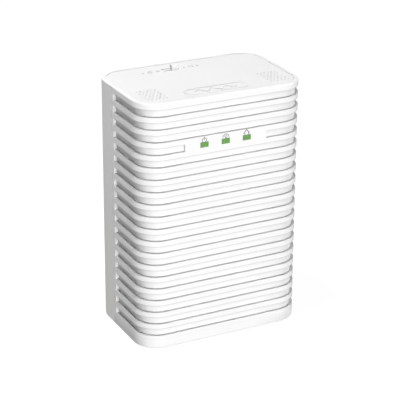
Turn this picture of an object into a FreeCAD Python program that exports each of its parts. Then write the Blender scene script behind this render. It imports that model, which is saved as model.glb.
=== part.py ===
import FreeCAD, Part

# Plug-in powerline adapter: a two-shell housing with grooves round its front, a top panel
# with a power switch, a mains plug, two circuit boards and the parts they carry.
# Frame: +Z up, the grooved front faces -Y, the mains plug points to +Y.
# Origin: midway between the two mains pins on the seating face of the plug.
# Units: millimetres. A "depth" is a distance behind the front face, towards +Y.

import math
import os

import Sketcher

doc = FreeCAD.newDocument("powerline_adapter")

# --------------------------------------------------------------------------
# Driving sizes
# --------------------------------------------------------------------------
SIZES = {
    # housing
    "body_width": 66.0, "body_depth": 42.3, "body_height": 95.1, "corner_radius": 9.3,
    "plug_length": 16.5, "top_z": 35.1, "split_depth": 26.4,
    "wall_front": 2.7, "wall_rear": 2.2, "wall_top": 3.2, "wall_bottom": 2.2,
    "top_edge_radius": 0.5, "bottom_edge_radius": 0.7,
    "seam_width": 0.35, "seam_depth": 0.3,
    "tongue_gap": 0.05, "tongue_thick": 0.9, "tongue_length": 2.0,
    # grooves; groove_first runs from the top down to the lower side of the first groove
    "groove_pitch": 4.715, "groove_first": 5.0, "groove_height": 2.56, "groove_depth": 1.1,
    "groove_count": 19, "groove_reach": 24.8, "lamp_panel_half": 16.35,
    "groove_edge_radius": 0.16,
    # lamps
    "lamp_width": 3.3, "lamp_height": 2.05, "lamp_pitch": 8.5, "lamp_middle": -0.2,
    "lamp_fit": 0.05,
    # top panel
    "rim_width": 1.6, "panel_thick": 1.6, "panel_fit": 0.12, "dish_depth": 0.35,
    "vent_radius": 0.15, "vent_dish_radius": 0.36, "vent_dish_depth": 0.14,
    "vent_pitch": 1.45, "vent_edge_x": 20.7, "vent_edge_depth": 4.6,
    # power switch
    "knob_x": -4.5, "knob_depth": 33.9, "knob_width": 2.4, "knob_thick": 2.0,
    "knob_rise": 1.8, "knob_travel": 3.0, "knob_fit": 0.12,
    "neck_width": 1.8, "neck_thick": 0.8,
    "shutter_length": 9.2, "shutter_width": 3.2, "shutter_thick": 0.55,
    # plug
    "plug_radius": 18.5, "flange_radius": 21.0, "flange_thick": 1.8,
    "pin_radius": 2.4, "pin_length": 19.0, "pin_half_pitch": 9.5, "pin_tip_radius": 1.2,
    "tail_radius": 1.0, "pin_root_radius": 2.1, "pin_neck_y": 0.25,
    "earth_z": 10.0, "earth_radius": 2.45, "earth_wall": 0.5, "earth_length": 13.0,
    "clip_width": 5.0, "clip_thick": 0.8, "clip_inset": 1.7,
    # housing screws
    "screw_x": 26.4, "screw_top_z": 26.0, "screw_low_z": -52.0, "screw_radius": 1.5,
    "screw_head_radius": 2.75, "screw_head_thick": 2.0, "screw_length": 19.0,
    "boss_radius": 3.2, "rear_boss_radius": 4.0, "cup_depth": 4.4,
    # board screws
    "post_x": 19.0, "post_top_z": 23.0, "post_low_z": -33.0, "post_radius": 2.6,
    "board_screw_radius": 1.0, "board_screw_head_radius": 1.9,
    "board_screw_head_thick": 1.2, "board_screw_length": 6.0, "thread_fit": 0.03,
    # boards; part_gap lies between a board and what sits on it
    "board_thick": 1.6, "main_board_depth": 17.7, "power_board_depth": 36.1,
    "part_gap": 0.03,
    # jack
    "jack_width": 16.0, "jack_depth": 4.5, "jack_length": 21.0, "jack_lift": 0.3,
    "jack_mouth_width": 11.9, "jack_mouth_depth": 8.1, "jack_mouth_thick": 7.0,
    "jack_mouth_length": 14.5,
    # buttons
    "pair_x": -18.0, "reset_x": 18.0, "button_depth": 13.6, "pair_radius": 2.5,
    "reset_hole_radius": 1.1, "plunger_radius": 1.5,
}

sheet = doc.addObject("Spreadsheet::Sheet", "Dims")
sheet.Label = "Dims"
for row, (word, number) in enumerate(SIZES.items(), start=1):
    sheet.set("A%d" % row, word)
    sheet.set("B%d" % row, repr(number))
    sheet.setAlias("B%d" % row, word)
doc.recompute()


class Size:
    """A length: the number it has now and the formula that keeps it up to date."""

    def __init__(self, value, text):
        self.value = float(value)
        self.text = text

    def __add__(self, other):
        other = size(other)
        return Size(self.value + other.value, "(%s + %s)" % (self.text, other.text))

    __radd__ = __add__

    def __sub__(self, other):
        other = size(other)
        return Size(self.value - other.value, "(%s - %s)" % (self.text, other.text))

    def __rsub__(self, other):
        return size(other) - self

    def __mul__(self, other):
        other = size(other)
        return Size(self.value * other.value, "(%s * %s)" % (self.text, other.text))

    __rmul__ = __mul__

    def __truediv__(self, other):
        other = size(other)
        return Size(self.value / other.value, "(%s / %s)" % (self.text, other.text))

    def __neg__(self):
        return Size(-self.value, "(0 - %s)" % self.text)


def size(item):
    if isinstance(item, Size):
        return item
    number = float(item)
    text = "%.6f" % abs(number)
    return Size(number, text if number >= 0 else "(0 - %s)" % text)


class Dimensions:
    """Reads a driving size by its alias: dim.body_width."""

    def __getattr__(self, word):
        return Size(SIZES[word], "Dims." + word)


dim = Dimensions()


def span(middle, half):
    """Both ends of a range given by its middle and half its length."""
    return size(middle) - half, size(middle) + half


def deep(depth):
    """Y of a plane the given distance behind the front face."""
    return y_front + depth


def groove_bottom(index):
    """Z of the lower side of a groove, counted from 0 at the top."""
    return z_top - dim.groove_first - dim.groove_pitch * index


# Shared planes and places ---------------------------------------------------
OVER = 1  # how far a cutting shape runs past the surface it opens

half_width = dim.body_width / 2
y_front = -(dim.plug_length + dim.body_depth)
y_rear = -dim.plug_length
y_rear_inside = y_rear - dim.wall_rear
y_split = deep(dim.split_depth)
z_top = dim.top_z
z_bottom = dim.top_z - dim.body_height
z_panel = z_top - dim.panel_thick
z_ceiling = z_top - dim.wall_top
z_floor = z_bottom + dim.wall_bottom

corner_x = half_width - dim.corner_radius
front_corner_y = deep(dim.corner_radius)
rear_corner_y = y_rear - dim.corner_radius
groove_end = deep(dim.groove_reach)

lamp_bottom = groove_bottom(3)
lamp_top = lamp_bottom + dim.groove_height
lamp_z = (lamp_bottom + lamp_top) / 2
lamp_xs = [dim.lamp_middle + dim.lamp_pitch * k for k in (-1, 0, 1)]
lamp_row = (lamp_xs[0] - 3.4, lamp_xs[2] + 3.4)

screw_spots = [(side * dim.screw_x, z) for z in (dim.screw_top_z, dim.screw_low_z)
               for side in (-1, 1)]
post_spots = [(side * dim.post_x, z) for z in (dim.post_top_z, dim.post_low_z)
              for side in (-1, 1)]

knob_y = deep(dim.knob_depth)
switch_x = dim.knob_x - dim.knob_travel / 2
flange_front = y_rear_inside - 0.05 - dim.flange_thick
flange_back = flange_front + dim.flange_thick
clip_z = dim.plug_radius - dim.clip_inset

main_front = deep(dim.main_board_depth)
main_back = deep(dim.main_board_depth + dim.board_thick)
power_front = deep(dim.power_board_depth)
power_back = deep(dim.power_board_depth + dim.board_thick)

jack_bottom = z_bottom + dim.jack_lift
jack_top = jack_bottom + dim.jack_length
jack_half = dim.jack_width / 2
mouth_front = deep(dim.jack_mouth_depth)
button_y = deep(dim.button_depth)

# --------------------------------------------------------------------------
# Document helpers
# --------------------------------------------------------------------------
NODES = {}
serial = [0]


def fresh(stem):
    serial[0] += 1
    return "%s_%03d" % (stem, serial[0])


def node(label, obj):
    """Registers an object as a piece to be written under this label."""
    obj.Label = label
    NODES[label] = obj
    return obj


def bind(obj, word, value):
    value = size(value)
    setattr(obj, word, value.value)
    obj.setExpression(word, value.text)


# --------------------------------------------------------------------------
# Sketch outlines. A circle is a tuple (x, y, radius); any other outline is a list of points.
# A point is (x, y) or (x, y, centre x, centre y, radius, turn), where an arc leaves the
# point and turn is 1 for counter-clockwise and -1 for clockwise.
# --------------------------------------------------------------------------
def rect(x0, x1, y0, y1):
    return [(x0, y0), (x1, y0), (x1, y1), (x0, y1)]


def rings(spots, radius):
    return [(x, y, radius) for x, y in spots]


def slot_across(x0, x1, y0, y1):
    """Round-ended slot along the sketch's x axis."""
    x0, x1, y0, y1 = [size(c) for c in (x0, x1, y0, y1)]
    r = (y1 - y0) / 2
    middle = (y0 + y1) / 2
    return [(x0 + r, y0), (x1 - r, y0, x1 - r, middle, r, 1),
            (x1 - r, y1), (x0 + r, y1, x0 + r, middle, r, 1)]


def slot_upright(x0, x1, y0, y1):
    """Round-ended slot along the sketch's y axis."""
    x0, x1, y0, y1 = [size(c) for c in (x0, x1, y0, y1)]
    r = (x1 - x0) / 2
    middle = (x0 + x1) / 2
    return [(x1, y0 + r), (x1, y1 - r, middle, y1 - r, r, 1),
            (x0, y1 - r), (x0, y0 + r, middle, y0 + r, r, 1)]


def front_outline(inset, y_end):
    """U-shaped plan of the front half, closed along y_end."""
    side = half_width - inset
    r = dim.corner_radius - inset
    return [(-side, y_end), (-side, front_corner_y, -corner_x, front_corner_y, r, 1),
            (-corner_x, deep(inset)), (corner_x, deep(inset), corner_x, front_corner_y, r, 1),
            (side, front_corner_y), (side, y_end)]


def rear_outline(inset, y_begin):
    """U-shaped plan of the rear half, closed along y_begin."""
    side = half_width - inset
    r = dim.corner_radius - inset
    back = y_rear - inset
    return [(side, y_begin), (side, rear_corner_y, corner_x, rear_corner_y, r, 1),
            (corner_x, back), (-corner_x, back, -corner_x, rear_corner_y, r, 1),
            (-side, rear_corner_y), (-side, y_begin)]


def groove_outline():
    """Band outside the front half, as deep as a groove."""
    side = half_width - dim.groove_depth
    r = dim.corner_radius - dim.groove_depth
    floor_y = deep(dim.groove_depth)
    out = half_width + OVER
    return [(-out, groove_end), (-out, y_front - OVER), (out, y_front - OVER),
            (out, groove_end), (side, groove_end),
            (side, front_corner_y, corner_x, front_corner_y, r, -1), (corner_x, floor_y),
            (-corner_x, floor_y, -corner_x, front_corner_y, r, -1),
            (-side, front_corner_y), (-side, groove_end)]


def board_outline(narrow, wide, z0, z1, z2, z3):
    """Board with notched corners: half widths, then the heights of its steps."""
    return [(-narrow, z0), (narrow, z0), (narrow, z1), (wide, z1), (wide, z2), (narrow, z2),
            (narrow, z3), (-narrow, z3), (-narrow, z2), (-wide, z2), (-wide, z1),
            (-narrow, z1)]


def tie(sketch, constraint, length):
    index = sketch.addConstraint(constraint)
    name = "c%d" % index
    sketch.renameConstraint(index, name)
    sketch.setExpression("Constraints." + name, length.text)


def tie_point(sketch, geo, pos, x, y):
    tie(sketch, Sketcher.Constraint("DistanceX", -1, 1, geo, pos, x.value), x)
    tie(sketch, Sketcher.Constraint("DistanceY", -1, 1, geo, pos, y.value), y)


def circle_at(x, y, radius):
    centre = FreeCAD.Vector(x.value, y.value, 0)
    return Part.Circle(centre, FreeCAD.Vector(0, 0, 1), radius.value)


def draw_circle(sketch, circle):
    x, y, radius = [size(c) for c in circle]
    geo = sketch.addGeometry(circle_at(x, y, radius), False)
    tie_point(sketch, geo, 3, x, y)
    tie(sketch, Sketcher.Constraint("Radius", geo, radius.value), radius)


def draw_arc(sketch, start, end):
    """Adds the arc from start to end; returns its index and its first and last point ids."""
    x, y, radius, turn = start[2:]
    angle0 = math.atan2(start[1].value - y.value, start[0].value - x.value)
    angle1 = math.atan2(end[1].value - y.value, end[0].value - x.value)
    if turn < 0:
        angle0, angle1 = angle1, angle0
    while angle1 <= angle0:
        angle1 += 2 * math.pi
    geo = sketch.addGeometry(Part.ArcOfCircle(circle_at(x, y, radius), angle0, angle1), False)
    # with both ends tied, one coordinate of the centre is left to fix
    wide, high = [abs(end[i].value - start[i].value) for i in (0, 1)]
    if wide > high + 1e-6:
        tie(sketch, Sketcher.Constraint("DistanceY", -1, 1, geo, 3, y.value), y)
    else:
        tie(sketch, Sketcher.Constraint("DistanceX", -1, 1, geo, 3, x.value), x)
    return (geo, 1, 2) if turn > 0 else (geo, 2, 1)


def draw_line(sketch, start, end):
    ends = [FreeCAD.Vector(p[0].value, p[1].value, 0) for p in (start, end)]
    return (sketch.addGeometry(Part.LineSegment(*ends), False), 1, 2)


def draw_loop(sketch, outline):
    points = [[size(c) for c in p[:5]] + list(p[5:]) for p in outline]
    pieces = []
    for k, start in enumerate(points):
        draw = draw_arc if len(start) > 2 else draw_line
        pieces.append(draw(sketch, start, points[(k + 1) % len(points)]))
    for k, (geo, first, last) in enumerate(pieces):
        after = pieces[(k + 1) % len(pieces)]
        sketch.addConstraint(Sketcher.Constraint("Coincident", geo, last, after[0], after[1]))
        tie_point(sketch, geo, first, points[k][0], points[k][1])


# --------------------------------------------------------------------------
# Body helpers
# --------------------------------------------------------------------------
def new_body(label):
    return node(label, doc.addObject("PartDesign::Body", fresh("Body")))


def origin_feature(body, role):
    return [f for f in body.Origin.OriginFeatures if f.Role == role][0]


def new_sketch(body, plane, at):
    sketch = body.newObject("Sketcher::SketchObject", fresh("Sketch"))
    sketch.AttachmentSupport = [(origin_feature(body, plane + "_Plane"), "")]
    sketch.MapMode = "FlatFace"
    shift = -at if plane == "XZ" else at  # the XZ plane's normal is -Y
    offset = FreeCAD.Vector(0, 0, shift.value)
    sketch.AttachmentOffset = FreeCAD.Placement(offset, FreeCAD.Rotation())
    sketch.setExpression("AttachmentOffset.Base.z", shift.text)
    return sketch


def volume(body):
    return 0.0 if body.Shape.isNull() else body.Shape.Volume


def extrude(kind, body, plane, low, high, outlines):
    """Pad or pocket from low to high along the axis normal to the plane."""
    low, high = size(low), size(high)
    sketch = new_sketch(body, plane, low)
    for outline in outlines:
        draw = draw_circle if isinstance(outline, tuple) else draw_loop
        draw(sketch, outline)
    doc.recompute()
    before = volume(body)
    feature = body.newObject("PartDesign::" + kind, fresh(kind))
    feature.Profile = sketch
    feature.Type = 0
    bind(feature, "Length", high - low)
    feature.Reversed = (plane == "XZ") == (kind == "Pad")
    body.Tip = feature
    doc.recompute()
    gain = volume(body) - before
    if (gain if kind == "Pad" else -gain) <= 1e-6:
        raise RuntimeError("%s changes nothing: %s" % (feature.Name, body.Label))
    return feature


def add(body, plane, low, high, *outlines):
    return extrude("Pad", body, plane, low, high, outlines)


def cut(body, plane, low, high, *outlines):
    return extrude("Pocket", body, plane, low, high, outlines)


def soften(body, feature, radius, wanted):
    """Fillets the wanted edges of a body's feature."""
    names = ["Edge%d" % (i + 1) for i, e in enumerate(feature.Shape.Edges) if wanted(e)]
    if not names:
        raise RuntimeError("no edge to round on %s" % body.Label)
    fillet = body.newObject("PartDesign::Fillet", fresh("Fillet"))
    fillet.Base = (feature, names)
    bind(fillet, "Radius", radius)
    body.Tip = fillet
    doc.recompute()
    return fillet


# --------------------------------------------------------------------------
# Part helpers
# --------------------------------------------------------------------------
TURN = {
    "X": FreeCAD.Rotation(FreeCAD.Vector(0, 1, 0), 90),
    "Y": FreeCAD.Rotation(FreeCAD.Vector(1, 0, 0), -90),
    "Z": FreeCAD.Rotation(),
}


def primitive(kind, place, axis, **lengths):
    """Part primitive at a place, its own axis turned to the given one."""
    obj = doc.addObject("Part::" + kind, fresh(kind))
    for word, length in lengths.items():
        bind(obj, word, length)
    x, y, z = [size(c) for c in place]
    obj.Placement = FreeCAD.Placement(FreeCAD.Vector(x.value, y.value, z.value), TURN[axis])
    obj.setExpression("Placement.Base.x", x.text)
    obj.setExpression("Placement.Base.y", y.text)
    obj.setExpression("Placement.Base.z", z.text)
    return obj


def block(x0, x1, y0, y1, z0, z1):
    x0, x1, y0, y1, z0, z1 = [size(c) for c in (x0, x1, y0, y1, z0, z1)]
    return primitive("Box", (x0, y0, z0), "Z", Length=x1 - x0, Width=y1 - y0, Height=z1 - z0)


def block_about(x, y, z, half_x, half_y, half_z):
    return block(*span(x, half_x), *span(y, half_y), *span(z, half_z))


def seated(board_y, x0, x1, z0, z1, rise, gap=dim.part_gap):
    """Block in front of a board, from gap to rise away from its front face."""
    return block(x0, x1, board_y - rise, board_y - gap, z0, z1)


def rod(axis, x, y, z, radius, length):
    return primitive("Cylinder", (x, y, z), axis, Radius=radius, Height=length)


def donut(axis, x, y, z, radius, tube_radius):
    return primitive("Torus", (x, y, z), axis, Radius1=radius, Radius2=tube_radius)


def join(*parts):
    obj = doc.addObject("Part::MultiFuse", fresh("Fuse"))
    obj.Shapes = list(parts)
    return obj


def minus(base, *tools):
    tool = tools[0] if len(tools) == 1 else join(*tools)
    obj = doc.addObject("Part::Cut", fresh("Cut"))
    obj.Base = base
    obj.Tool = tool
    return obj


def rounded(base, radius, wanted):
    """Fillets the wanted edges of a Part object."""
    doc.recompute()
    obj = doc.addObject("Part::Fillet", fresh("Fillet"))
    obj.Base = base
    obj.Edges = [(i + 1, radius, radius) for i, e in enumerate(base.Shape.Edges) if wanted(e)]
    return obj


# Edge selectors -------------------------------------------------------------
def edge_points(edge):
    """The ends and the middle of an edge."""
    middle = edge.valueAt((edge.FirstParameter + edge.LastParameter) / 2)
    return [v.Point for v in edge.Vertexes] + [middle]


def edge_at(edge, axis, value):
    """Whether the edge lies in the plane at this value on the axis."""
    index = "XYZ".index(axis)
    value = size(value).value
    return all(abs(p[index] - value) < 1e-4 for p in edge_points(edge))


def along(edge, axis):
    """Whether the edge runs from one end to the other along the axis."""
    if len(edge.Vertexes) != 2:
        return False
    step = edge.Vertexes[-1].Point - edge.Vertexes[0].Point
    lengths = [abs(step.x), abs(step.y), abs(step.z)]
    main = lengths.pop("XYZ".index(axis))
    return main > 1e-6 and sum(lengths) < 1e-6


def from_outside(point):
    """Distance of a point in from the vertical outside of the front half."""
    r = dim.corner_radius.value
    x, y = abs(point.x), point.y
    if x > corner_x.value and y < front_corner_y.value:
        return r - math.hypot(x - corner_x.value, y - front_corner_y.value)
    if y < front_corner_y.value:
        return y - y_front.value
    return half_width.value - x


def groove_mouth(edge):
    """Whether the edge borders the mouth of a groove."""
    points = edge_points(edge)
    if any(abs(from_outside(p)) > 1e-3 for p in points):
        return False
    if max(p.z for p in points) - min(p.z for p in points) < 1e-4:
        bottoms = [groove_bottom(k).value for k in range(SIZES["groove_count"])]
        lips = bottoms + [z + dim.groove_height.value for z in bottoms]
        return min(abs(points[0].z - z) for z in lips) < 1e-3
    at_end = all(abs(p.y - groove_end.value) < 1e-3 for p in points)
    beside_lamps = all(abs(abs(p.x) - dim.lamp_panel_half.value) < 1e-3 and
                       abs(p.y - y_front.value) < 1e-3 for p in points)
    return at_end or beside_lamps


# --------------------------------------------------------------------------
# Housing
# --------------------------------------------------------------------------
def round_ends(body, pad):
    """Rounds the top and bottom rims of a shell, but not where the shells meet."""
    for z, radius in ((z_top, dim.top_edge_radius), (z_bottom, dim.bottom_edge_radius)):
        pad = soften(body, pad, radius,
                     lambda e: edge_at(e, "Z", z) and not edge_at(e, "Y", y_split))


def cut_grooves(shell):
    """Cuts the lowest groove and repeats it upwards."""
    lowest = groove_bottom(dim.groove_count - 1)
    groove = cut(shell, "XY", lowest, lowest + dim.groove_height, groove_outline())
    stack = shell.newObject("PartDesign::LinearPattern", "GrooveStack")
    stack.Originals = [groove]
    stack.Direction = (origin_feature(shell, "Z_Axis"), [""])
    bind(stack, "Length", dim.groove_pitch * (dim.groove_count - 1))
    stack.Occurrences = SIZES["groove_count"]
    stack.setExpression("Occurrences", dim.groove_count.text)
    shell.Tip = stack
    doc.recompute()


def build_front_shell():
    shell = new_body("front_shell")
    round_ends(shell, add(shell, "XY", z_bottom, z_top, front_outline(0, y_split)))
    cut_grooves(shell)
    # lamp panel fills the middle of the fourth groove from the top
    add(shell, "XZ", y_front, deep(dim.groove_depth + 0.05),
        rect(*span(0, dim.lamp_panel_half), lamp_bottom, lamp_top))
    # hollow inside, open to the rear
    cut(shell, "XY", z_floor, z_ceiling, front_outline(dim.wall_front, y_split + OVER))
    # step for the inset top panel
    cut(shell, "XY", z_panel, z_top + OVER, front_outline(dim.rim_width, y_split + OVER))
    # openings under the two perforated corners of the panel
    opening_x, opening_half = 24.3, 3.8
    for side in (-1, 1):
        cut(shell, "XY", z_ceiling - OVER, z_top,
            rect(*span(side * opening_x, opening_half), deep(4.8), deep(16.6)))
    # lamp windows
    cut(shell, "XZ", y_front - OVER, deep(dim.wall_front + OVER),
        *[rect(*span(x, dim.lamp_width / 2), lamp_top - dim.lamp_height, lamp_top + 0.02)
          for x in lamp_xs])
    # screw bosses and board posts, then their bores
    boss_bore, post_bore = 12, 7
    add(shell, "XZ", deep(dim.wall_front + 1.5), y_split - 0.2,
        *rings(screw_spots, dim.boss_radius))
    add(shell, "XZ", deep(dim.wall_front - 0.4), main_front,
        *rings(post_spots, dim.post_radius))
    cut(shell, "XZ", y_split - boss_bore, y_split + OVER,
        *rings(screw_spots, dim.screw_radius + dim.thread_fit))
    cut(shell, "XZ", main_front - post_bore, main_front + OVER,
        *rings(post_spots, dim.board_screw_radius + dim.thread_fit))
    # openings in the bottom: jack, pair button, reset pinhole with its counterbore
    jack_fit = 0.15
    cut(shell, "XY", z_bottom - OVER, z_floor + OVER,
        rect(*span(0, jack_half + jack_fit), deep(dim.jack_depth - jack_fit),
             main_front + 0.05),
        (dim.pair_x, button_y, dim.pair_radius + 0.08),
        (dim.reset_x, button_y, dim.reset_hole_radius))
    cut(shell, "XY", z_bottom - OVER, z_bottom + 0.5,
        (dim.reset_x, button_y, dim.reset_hole_radius + 0.7))
    # soft edges all round the mouth of every groove
    soften(shell, shell.Tip, dim.groove_edge_radius, groove_mouth)


def swept(margin):
    """X range covered by the travel of the knob, with a margin at both ends."""
    return dim.knob_x - dim.knob_travel - margin, dim.knob_x + margin


def build_rear_shell():
    shell = new_body("rear_shell")
    round_ends(shell, add(shell, "XY", z_bottom, z_top, rear_outline(0, y_split)))
    # hollow, open to the front
    cut(shell, "XY", z_floor, z_ceiling, rear_outline(dim.wall_rear, y_split - OVER))
    # shadow gap where the two shells meet
    cut(shell, "XZ", y_split - 0.5, y_split + dim.seam_width,
        rect(*span(0, half_width + OVER), z_bottom - OVER, z_top + OVER),
        rect(*span(0, half_width - dim.seam_depth),
             z_bottom + dim.seam_depth, z_top - dim.seam_depth))
    # tongue that locates inside the front shell, relieved round the four bosses
    tongue_x = half_width - dim.wall_front - dim.tongue_gap
    tongue_low, tongue_high = z_floor + dim.tongue_gap, z_ceiling - dim.tongue_gap
    add(shell, "XZ", y_split - dim.tongue_length, y_split + 1,
        rect(*span(0, tongue_x), tongue_low, tongue_high),
        rect(*span(0, tongue_x - dim.tongue_thick),
             tongue_low + dim.tongue_thick, tongue_high - dim.tongue_thick))
    cut(shell, "XZ", y_split - dim.tongue_length - OVER, y_split,
        *rings(screw_spots, dim.boss_radius + 0.3))
    # step for the inset top panel
    cut(shell, "XY", z_panel, z_top + OVER, rear_outline(dim.rim_width, y_split - OVER))
    # bosses for the housing screws, cups for their heads
    screw_fit = 0.25
    add(shell, "XZ", y_split, y_rear_inside + 0.4, *rings(screw_spots, dim.rear_boss_radius))
    cut(shell, "XZ", y_split - OVER, y_rear + OVER,
        *rings(screw_spots, dim.screw_radius + screw_fit))
    cut(shell, "XZ", y_rear - dim.cup_depth, y_rear + OVER,
        *rings(screw_spots, dim.screw_head_radius + screw_fit))
    # round opening for the plug
    cut(shell, "XZ", y_rear_inside - OVER, y_rear + OVER, (0, 0, dim.plug_radius + 0.06))
    # opening in the top for the switch slider
    cut(shell, "XY", z_ceiling - OVER, z_top, rect(*swept(3.4), *span(knob_y, 2.5)))
    # slots in the back below the plug, and across the bottom
    slot_width = 1.5
    back_slots = [-(dim.plug_radius + 8.5 + 3.6 * k) for k in range(5)]
    cut(shell, "XZ", y_rear_inside - OVER, y_rear + OVER,
        *[slot_across(-13, 13, z, z + slot_width) for z in back_slots])
    bottom_slots = [-19.75 + 5.5 * k for k in range(8)]
    cut(shell, "XY", z_bottom - OVER, z_floor + OVER,
        *[slot_upright(x, x + slot_width, y_split + 2.8, y_split + 11.4)
          for x in bottom_slots])


# --------------------------------------------------------------------------
# Top panel
# --------------------------------------------------------------------------
VENT_ROWS, VENT_COLUMNS = 9, 6
VENT_ROW_RATIO = 0.8660254  # row spacing over hole pitch in a triangular grid


def vent_field(side, radius):
    """Staggered rows of circles in the front corner on one side."""
    circles = []
    for j in range(VENT_ROWS):
        shift = j % 2
        y = deep(dim.vent_edge_depth + 0.9 + dim.vent_pitch * VENT_ROW_RATIO * j)
        for k in range(VENT_COLUMNS - shift):
            x = dim.vent_edge_x + dim.vent_pitch * (k + 0.5 * shift)
            circles.append((side * x, y, radius))
    return circles


def build_top_panel():
    panel = new_body("top_panel")
    inset = dim.rim_width + dim.panel_fit
    front, rear = front_outline(inset, y_split), rear_outline(inset, y_split)
    pad = add(panel, "XY", z_panel, z_top, front[2:5] + rear[1:5] + front[1:2])
    soften(panel, pad, 0.25, lambda e: edge_at(e, "Z", z_top))
    # perforated corners: small holes, each in a wider dish
    for side in (-1, 1):
        cut(panel, "XY", z_panel - OVER, z_top + OVER, *vent_field(side, dim.vent_radius))
        cut(panel, "XY", z_top - dim.vent_dish_depth, z_top + OVER,
            *vent_field(side, dim.vent_dish_radius))
    # recess and slot for the switch knob
    cut(panel, "XY", z_top - dim.dish_depth, z_top + OVER,
        slot_across(*swept(2.2), *span(knob_y, 1.6)))
    cut(panel, "XY", z_panel - OVER, z_top,
        rect(*swept(dim.neck_width / 2 + 0.15), *span(knob_y, dim.neck_thick / 2 + dim.knob_fit)))
    # pocket from below for the shutter that keeps the slot closed
    cut(panel, "XY", z_panel - OVER, z_panel + dim.shutter_thick + 0.2,
        rect(*swept(dim.shutter_length / 2 + 0.3), *span(knob_y, dim.shutter_width / 2 + 0.15)))


# --------------------------------------------------------------------------
# Power switch
# --------------------------------------------------------------------------
STEM_BOTTOM = 27.0


def build_switch_knob():
    knob = new_body("power_switch_knob")
    knob_top = z_top + dim.knob_rise

    def plan(half_x, half_y):
        return rect(*span(dim.knob_x, half_x), *span(knob_y, half_y))

    blade = add(knob, "XY", z_top - dim.dish_depth + 0.08, knob_top,
                plan(dim.knob_width / 2, dim.knob_thick / 2))
    soften(knob, blade, 0.3, lambda e: edge_at(e, "Z", knob_top) or along(e, "Z"))
    # neck through the slot, then the shutter below it
    add(knob, "XY", z_panel + dim.shutter_thick - 0.2, z_top - dim.dish_depth + 0.4,
        plan(dim.neck_width / 2, dim.neck_thick / 2))
    add(knob, "XY", z_panel + 0.08, z_panel + dim.shutter_thick + 0.08,
        plan(dim.shutter_length / 2, dim.shutter_width / 2))
    # flange under the shutter, with a socket that holds the switch stem
    add(knob, "XY", z_panel - 0.4, z_panel + 0.3, plan(1.6, 1.2))
    add(knob, "XY", z_panel - 1.3, z_panel - 0.15, plan(2.9, 2.1))
    cut(knob, "XY", z_panel - 2, z_panel - 0.6, plan(1.02, 1.02))


def build_switch_stem():
    foot_height, overlap = 1.3, 0.1
    node("power_switch_stem", join(
        block(*span(dim.knob_x, 1), *span(knob_y, 1),
              STEM_BOTTOM + foot_height - overlap, z_panel - 0.62),
        block(*span(dim.knob_x, 1.9), *span(knob_y, 1.7),
              STEM_BOTTOM, STEM_BOTTOM + foot_height)))


def build_switch_body():
    node("power_switch_body", minus(
        block(*span(switch_x, 6), knob_y - 3.2, power_front - 0.02, 19.5, 29.2),
        # room for the foot of the stem, then the slot above it
        block(*span(switch_x, 4.0), *span(knob_y, 2.0), 26.9, 28.4),
        block(*span(switch_x, 3.4), *span(knob_y, 1.3), 28, 30)))


def build_switch_frame():
    """Plate over the switch body with a leg down each side and a slot for the stem."""
    outer, inner, back = 6.35, 6.02, power_front - 0.03
    node("power_switch_frame", minus(
        join(block(*span(switch_x, outer), knob_y - 3.2, back, 29.22, 29.62),
             block(switch_x - outer, switch_x - inner, knob_y - 2.2, back, 20.5, 29.4),
             block(switch_x + inner, switch_x + outer, knob_y - 2.2, back, 20.5, 29.4)),
        block(*span(switch_x, 3.2), *span(knob_y, 1.3), 28, 30)))


# --------------------------------------------------------------------------
# Mains plug
# --------------------------------------------------------------------------
PIN_SEAT = 2       # from the front of the flange to the bottom of a pin's seat
TAIL_REACH = 3.2   # how far pin tails and clip tabs stand out in front of the flange
EARTH_FIT = 0.02


def build_plug_block():
    plug = new_body("plug_block")
    pin_spots = [(side * dim.pin_half_pitch, 0) for side in (-1, 1)]
    add(plug, "XZ", flange_front, flange_back, (0, 0, dim.flange_radius))
    barrel = add(plug, "XZ", flange_back - 0.2, 0, (0, 0, dim.plug_radius))
    soften(plug, barrel, 1.0, lambda e: edge_at(e, "Y", 0))
    # guide notches left and right
    for side in (-1, 1):
        cut(plug, "XZ", y_rear + 1.5, OVER,
            rect(*span(side * (dim.plug_radius - 0.75), 1.75), *span(0, 2.7)))
    # channels for the leaves of the earth clips, and slots for their tabs
    for side in (-1, 1):
        cut(plug, "XZ", y_rear + 1.2, OVER,
            rect(*span(0, dim.clip_width / 2 + 0.1), *span(side * (dim.plug_radius - 1), 1.5)))
        cut(plug, "XZ", flange_front - OVER, y_rear + 2,
            rect(*span(0, 1.1), *span(side * clip_z, 0.5)))
    # pin seats, tail holes, a shallow well round each pin, and the earth socket
    cut(plug, "XZ", flange_front + PIN_SEAT, OVER,
        *rings(pin_spots, dim.pin_root_radius + 0.02))
    cut(plug, "XZ", flange_front - OVER, flange_front + PIN_SEAT + OVER,
        *rings(pin_spots, dim.tail_radius + 0.05))
    cut(plug, "XZ", -0.6, OVER, *rings(pin_spots, dim.pin_radius + 0.2))
    cut(plug, "XZ", -(dim.earth_length + 0.5), OVER,
        (0, dim.earth_z, dim.earth_radius + dim.earth_wall + EARTH_FIT))


def build_pin(label, side):
    pin = new_body(label)
    x = side * dim.pin_half_pitch
    root_front = flange_front + PIN_SEAT + 0.05
    overlap = 0.5
    # solder tail, thinner root held in the plug, then the free end
    add(pin, "XZ", flange_front - TAIL_REACH, root_front + overlap, (x, 0, dim.tail_radius))
    add(pin, "XZ", root_front, dim.pin_neck_y + overlap, (x, 0, dim.pin_root_radius))
    shaft = add(pin, "XZ", dim.pin_neck_y, dim.pin_length, (x, 0, dim.pin_radius))
    soften(pin, shaft, dim.pin_tip_radius, lambda e: edge_at(e, "Y", dim.pin_length))


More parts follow.
